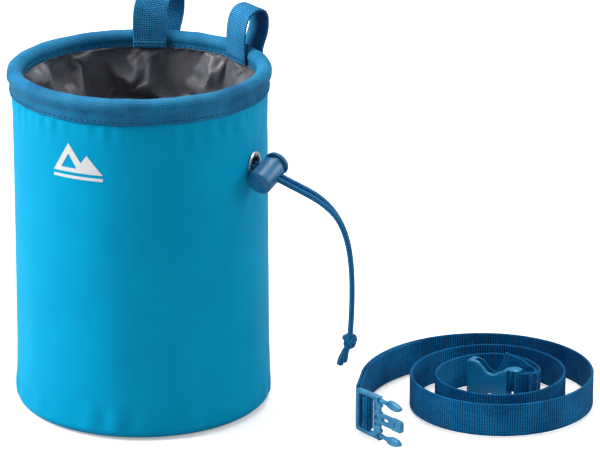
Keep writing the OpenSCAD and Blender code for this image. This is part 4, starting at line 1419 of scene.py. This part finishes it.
def shade(obj, degrees=38):
    """Smooth shading that keeps the moulded corners crisp."""
    obj.data.polygons.foreach_set("use_smooth", [True] * len(obj.data.polygons))
    obj.data.update()
    obj.data.set_sharp_from_angle(angle=math.radians(degrees))
    return obj


def buckle_place(guide, heading, height, shift=0.0):
    """A buckle's own frame, in metres: +X towards its mating end, +Z up.

    shift is a complex number in mm, along the buckle and beside it."""
    at = to_world(guide + shift * unit(heading))
    return (Matrix.Translation((at.real * MM, at.imag * MM, height / 2 * MM))
            @ Matrix.Rotation(math.radians(heading + BELT_TURN), 4, "Z"))


def pocket_cutter(place, along, heights, face, depth):
    """Cutter for a shallow rounded pocket sunk into a buckle's outer face."""
    middle = ((along[0] + along[1]) / 2, face, (heights[0] + heights[1]) / 2)
    size = (abs(along[1] - along[0]), 2 * depth, abs(heights[1] - heights[0]))
    obj = cutter_box(size, place @ Matrix.Translation(Vector(middle) * MM))
    bevel = obj.modifiers.new("corners", "BEVEL")
    bevel.width = 0.8 * min(depth, 0.6) * MM
    bevel.segments = 3
    apply_modifiers(obj)
    return obj


def arc_points(x, y, r, start, end, steps):
    """Points along an arc about (x, y) between two angles in degrees."""
    a = np.radians(np.linspace(start, end, steps))
    return np.stack([x + r * np.cos(a), y + r * np.sin(a)], 1)


def mirrored(points):
    """An outline's upper half and its mirror image, in one run."""
    points = np.asarray(points, float)
    return np.vstack([points, (points * [1, -1])[::-1]])


def slot_outline(near, far, half):
    """A slot between two distances along a buckle, with rounded corners."""
    return rounded([(near, -half), (far, -half), (far, half), (near, half)], 0.8, 4)


def strap_bar(r, half, x, place, material):
    """The round bar that a strap is threaded round."""
    bar = Shape()
    lathe(bar, [(0.01, -half), (r, -half), (r, half), (0.01, half)], 28, Matrix.Translation((x, 0, 0)))
    return bar.piece("bar", material, None, "buckle_plastic", place=place)


def frame_edge(end, half, low, root_z, tongue):
    """Edge of the male buckle's flat frame, with hollows for the two prong roots and beside the tongue."""
    back = rounded([(end - 0.2, -half), (0, -low), (0, low), (end - 0.2, half)], [0.1, 1.7, 1.7, 0.1], 5)
    upper = np.vstack([
        [(end, root_z + 1.75)],
        arc_points(end, root_z, 1.62, 88, 272, 9),
        [(end, root_z - 1.75)],
        arc_points(end + 0.6, tongue + 1.6, 1.6, 100, 262, 9),
        [(end + 0.3, tongue)],
    ])
    return np.vstack([back[5:-5], mirrored(upper)])


def male_buckle():
    """Flat frame with two strap slots, a split middle tongue and two springy prongs."""
    place = buckle_place(belt_line.male_guide, belt_line.male_heading, FRAME_H + 2 * FRAME_RISE,
                         -MALE_BACK - 1j * BeltLine.male_plane)
    half = FRAME_H / 2
    root_z = half - 2.1
    tongue = 2.7
    end = FRAME_LEN
    edge = frame_edge(end, half, half - 0.5, root_z, tongue)
    slot_half = (WEB_W + 0.8) / 2
    slot = slot_outline(OUTER_BAR, SLOT_END, slot_half)
    hole = arc_points(SLOT_END + 2.2, 0, 1.15, 0, 345, 24)
    obj = plate("male_buckle_body", [edge, slot, hole], FRAME_T, 0.55, place, BUCKLE_LIGHT)
    block = tongue + 0.3
    radii = [0.1, 0.8, 0.8, 0.8, 0.6]
    tongue_edge = rounded(mirrored([(end - 1.2, -tongue), (end + 8.0, -tongue), (end + 8.8, -block),
                                    (end + 14.4, -block), (end + 15.4, 0.9 - block)]),
                          radii + radii[::-1], 4)
    tongue_slot = slot_outline(end + 1.3, end + 5.9, 1.0)
    tongue_plate = plate("tongue_plate", [tongue_edge, tongue_slot], FRAME_T - 0.4, 0.5, place, BUCKLE_LIGHT)
    bar = strap_bar(MID_BAR_R, slot_half + 0.6, MID_BAR_X, place, BUCKLE_LIGHT)
    combine(obj, "UNION", [tongue_plate, bar])
    pockets = [pocket_cutter(place, (SLOT_END + 1.3, end + 1.0), (side * 3.4, side * 7.2), -FRAME_T / 2, 0.55)
               for side in (-1, 1)]
    pockets.append(pocket_cutter(place, (end + 10.2, end + 13.4), (-1.5, 1.5), 0.2 - FRAME_T / 2, 0.4))
    combine(obj, "DIFFERENCE", pockets)
    shade(obj)
    dress(obj, BUCKLE_LIGHT, "buckle_male", ["buckle_male_frame"])
    for side, body in ((1, "prong_upper"), (-1, "prong_lower")):
        outline = rounded([(-0.9, -1.2), (1.6, -0.85), (4.3, -0.85), (7.0, -1.95), (9.9, -2.25), (13.0, -1.7),
                           (14.5, -0.5), (14.5, 0.5), (11.9, 1.75), (8.0, 2.3), (5.8, 2.1), (4.35, 0.85),
                           (1.6, 0.85), (-0.9, 1.2)],
                          [0.4, 1.0, 1.2, 1.5, 2.0, 1.5, 0.6, 0.6, 2.0, 2.0, 1.0, 0.8, 1.0, 0.4], 4)
        outline = outline * [1, side] + [end, side * root_z]
        if side < 0:
            outline = outline[::-1]
        prong = plate("male_" + body, [outline], FRAME_T - 0.3, 0.75, place, BUCKLE_LIGHT)
        shade(prong)
        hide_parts("buckle_" + body)
        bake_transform(prong)


def female_buckle():
    """Hollow half with finger dips, a strap bar, and a mouth with a catch window in each side wall."""
    place = buckle_place(belt_line.female_guide, belt_line.female_heading, FEMALE_H)
    half = FEMALE_H / 2
    drop = spline(FEMALE_DIP, 0.7)[0]
    top = np.stack([drop[:, 0], half - drop[:, 1]], 1)
    low = half - FEMALE_TAPER
    upper = np.vstack([
        [(FEMALE_LEN, half - 1.6), (FEMALE_LEN - 0.6, half - 0.5), (FEMALE_LEN - 2, half)],
        top,
        [(1.4, low), (-0.4, low - 0.3), (-FEMALE_BAR_R, low - 1.2)],
    ])
    edge = rounded(mirrored(upper), 0.5, 2)
    shell = plate("buckle_female_shell", [edge], FEMALE_T, 1.35, place, BUCKLE_DARK)
    inside_t = FEMALE_T - 2 * FEMALE_SKIN
    window_x = FEMALE_LEN * 0.56
    openings = []
    for near, length, thick, height in (
            (-5.0, 10.2, 20, FEMALE_H - 2 * FEMALE_RAIL),
            (MOUTH_NECK_FROM, MOUTH_REACH, inside_t, MOUTH_NECK_H),
            (MOUTH_NECK_X, MOUTH_REACH, inside_t, FEMALE_H - 2 * FEMALE_SIDE),
            (window_x, CATCH_X - window_x, CATCH_WINDOW_T, 2 * FEMALE_H)):
        middle = Matrix.Translation(((near + length / 2) * MM, 0, 0))
        openings.append(cutter_box((length, thick, height), place @ middle))
    combine(shell, "DIFFERENCE", openings)
    bar = strap_bar(FEMALE_BAR_R, half - FEMALE_RAIL + 0.3, 0, place, BUCKLE_DARK)
    combine(shell, "UNION", [bar])
    shade(shell)
    dress(shell, BUCKLE_DARK, "buckle_female", ["buckle_female"])


# ---------------------------------------------------------------- stage

# The camera's place as fitted to the photo: degrees, metres, and the lens in millimetres
VIEW_TURN = 26.5
VIEW_TILT = 18.785
VIEW_DISTANCE = 1.8
VIEW_RIGHT = 0.0763
VIEW_UP = 0.0869
VIEW_LENS = 224.1
FLOOR_REACH = 6.0
FLOOR_Z = -0.0006


def stage():
    """Camera, a flat pale floor, a soft key light on the left, a weak one on the right and one above."""
    azimuth, elevation = math.radians(VIEW_TURN), math.radians(VIEW_TILT)
    back = Vector((math.sin(azimuth) * math.cos(elevation), -math.cos(azimuth) * math.cos(elevation),
                   math.sin(elevation)))
    right = Vector((math.cos(azimuth), math.sin(azimuth), 0))
    aim = right * VIEW_RIGHT + Vector((0, 0, VIEW_UP))
    camera = add_object("camera", bpy.data.cameras.new("camera"))
    camera.location = aim + back * VIEW_DISTANCE
    camera.rotation_euler = back.to_track_quat("Z", "Y").to_euler()
    camera.data.lens = VIEW_LENS
    camera.data.sensor_width = 36
    camera.data.clip_start = 0.05
    bpy.context.scene.camera = camera

    floor_mesh = bpy.data.meshes.new("floor")
    corners = ((-1, -1), (1, -1), (1, 1), (-1, 1))
    floor_mesh.from_pydata([(x * FLOOR_REACH, y * FLOOR_REACH, FLOOR_Z) for x, y in corners], [],
                           [(0, 1, 2, 3)])
    floor = add_object("floor", floor_mesh)
    n = Nodes("floor_paper")
    grain = n.noise(n.place_mm(), 0.02, 2.0)
    paper = n.mix(n.ramp(grain, 0.3, 0.7), rgb(247, 247, 248), rgb(251, 251, 251))
    seen = n.node("ShaderNodeLightPath").outputs["Is Camera Ray"]
    floor_mesh.materials.append(n.finish(
        Base_Color=n.mix(seen, rgb(178, 180, 184), paper), Roughness=0.9, Specular_IOR_Level=0.1,
        Emission_Color=(1.0, 1.0, 1.0, 1.0), Emission_Strength=n.times(seen, 0.34)))

    world = bpy.data.worlds.new("studio")
    world.use_nodes = True
    world.node_tree.nodes["Background"].inputs[0].default_value = (1.0, 1.0, 1.0, 1)
    world.node_tree.nodes["Background"].inputs[1].default_value = 0.36
    bpy.context.scene.world = world
    flat_back = Vector((back.x, back.y, 0)).normalized()
    middle = right * 0.07 + Vector((0, 0, 0.06))
    for name, offset, size, power in (
            ("key", -right * 1.3 + flat_back * 0.15 + Vector((0, 0, 0.75)), 0.7, 26.0),
            ("rim", right * 1.2 - flat_back * 0.1 + Vector((0, 0, 0.5)), 0.6, 6.0),
            ("top", flat_back * -0.2 + Vector((0, 0, 1.3)), 0.9, 16.0)):
        light = bpy.data.lights.new(name, "AREA")
        light.shape = "SQUARE"
        light.size = size
        light.energy = power
        light.color = (1.0, 0.98, 0.9)
        lamp = add_object(name, light)
        lamp.location = middle + offset
        lamp.rotation_euler = offset.to_track_quat("Z", "Y").to_euler()
    bpy.context.scene.view_settings.view_transform = "Standard"


# ---------------------------------------------------------------- build

for node, material, slot in (("wall_foam", FOAM, "foam"), ("base_foam", FOAM, "foam"),
                             ("rim_padding", FOAM, "foam"), ("rim_hoop", SPRING, "hoop_wire"),
                             ("front_print", INK, "print")):
    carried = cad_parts[node]
    carried.data.materials.clear()
    carried.data.materials.append(material)

bag_wall()
bag_base()
rim_tape()
rim_stitches()
collar()
neck_channel()
inner_bag()
inner_base()
belt_loops()
eyelet()
drawcord()
cord_lock()
belt()
belt_tacks()
male_buckle()
female_buckle()
stage()
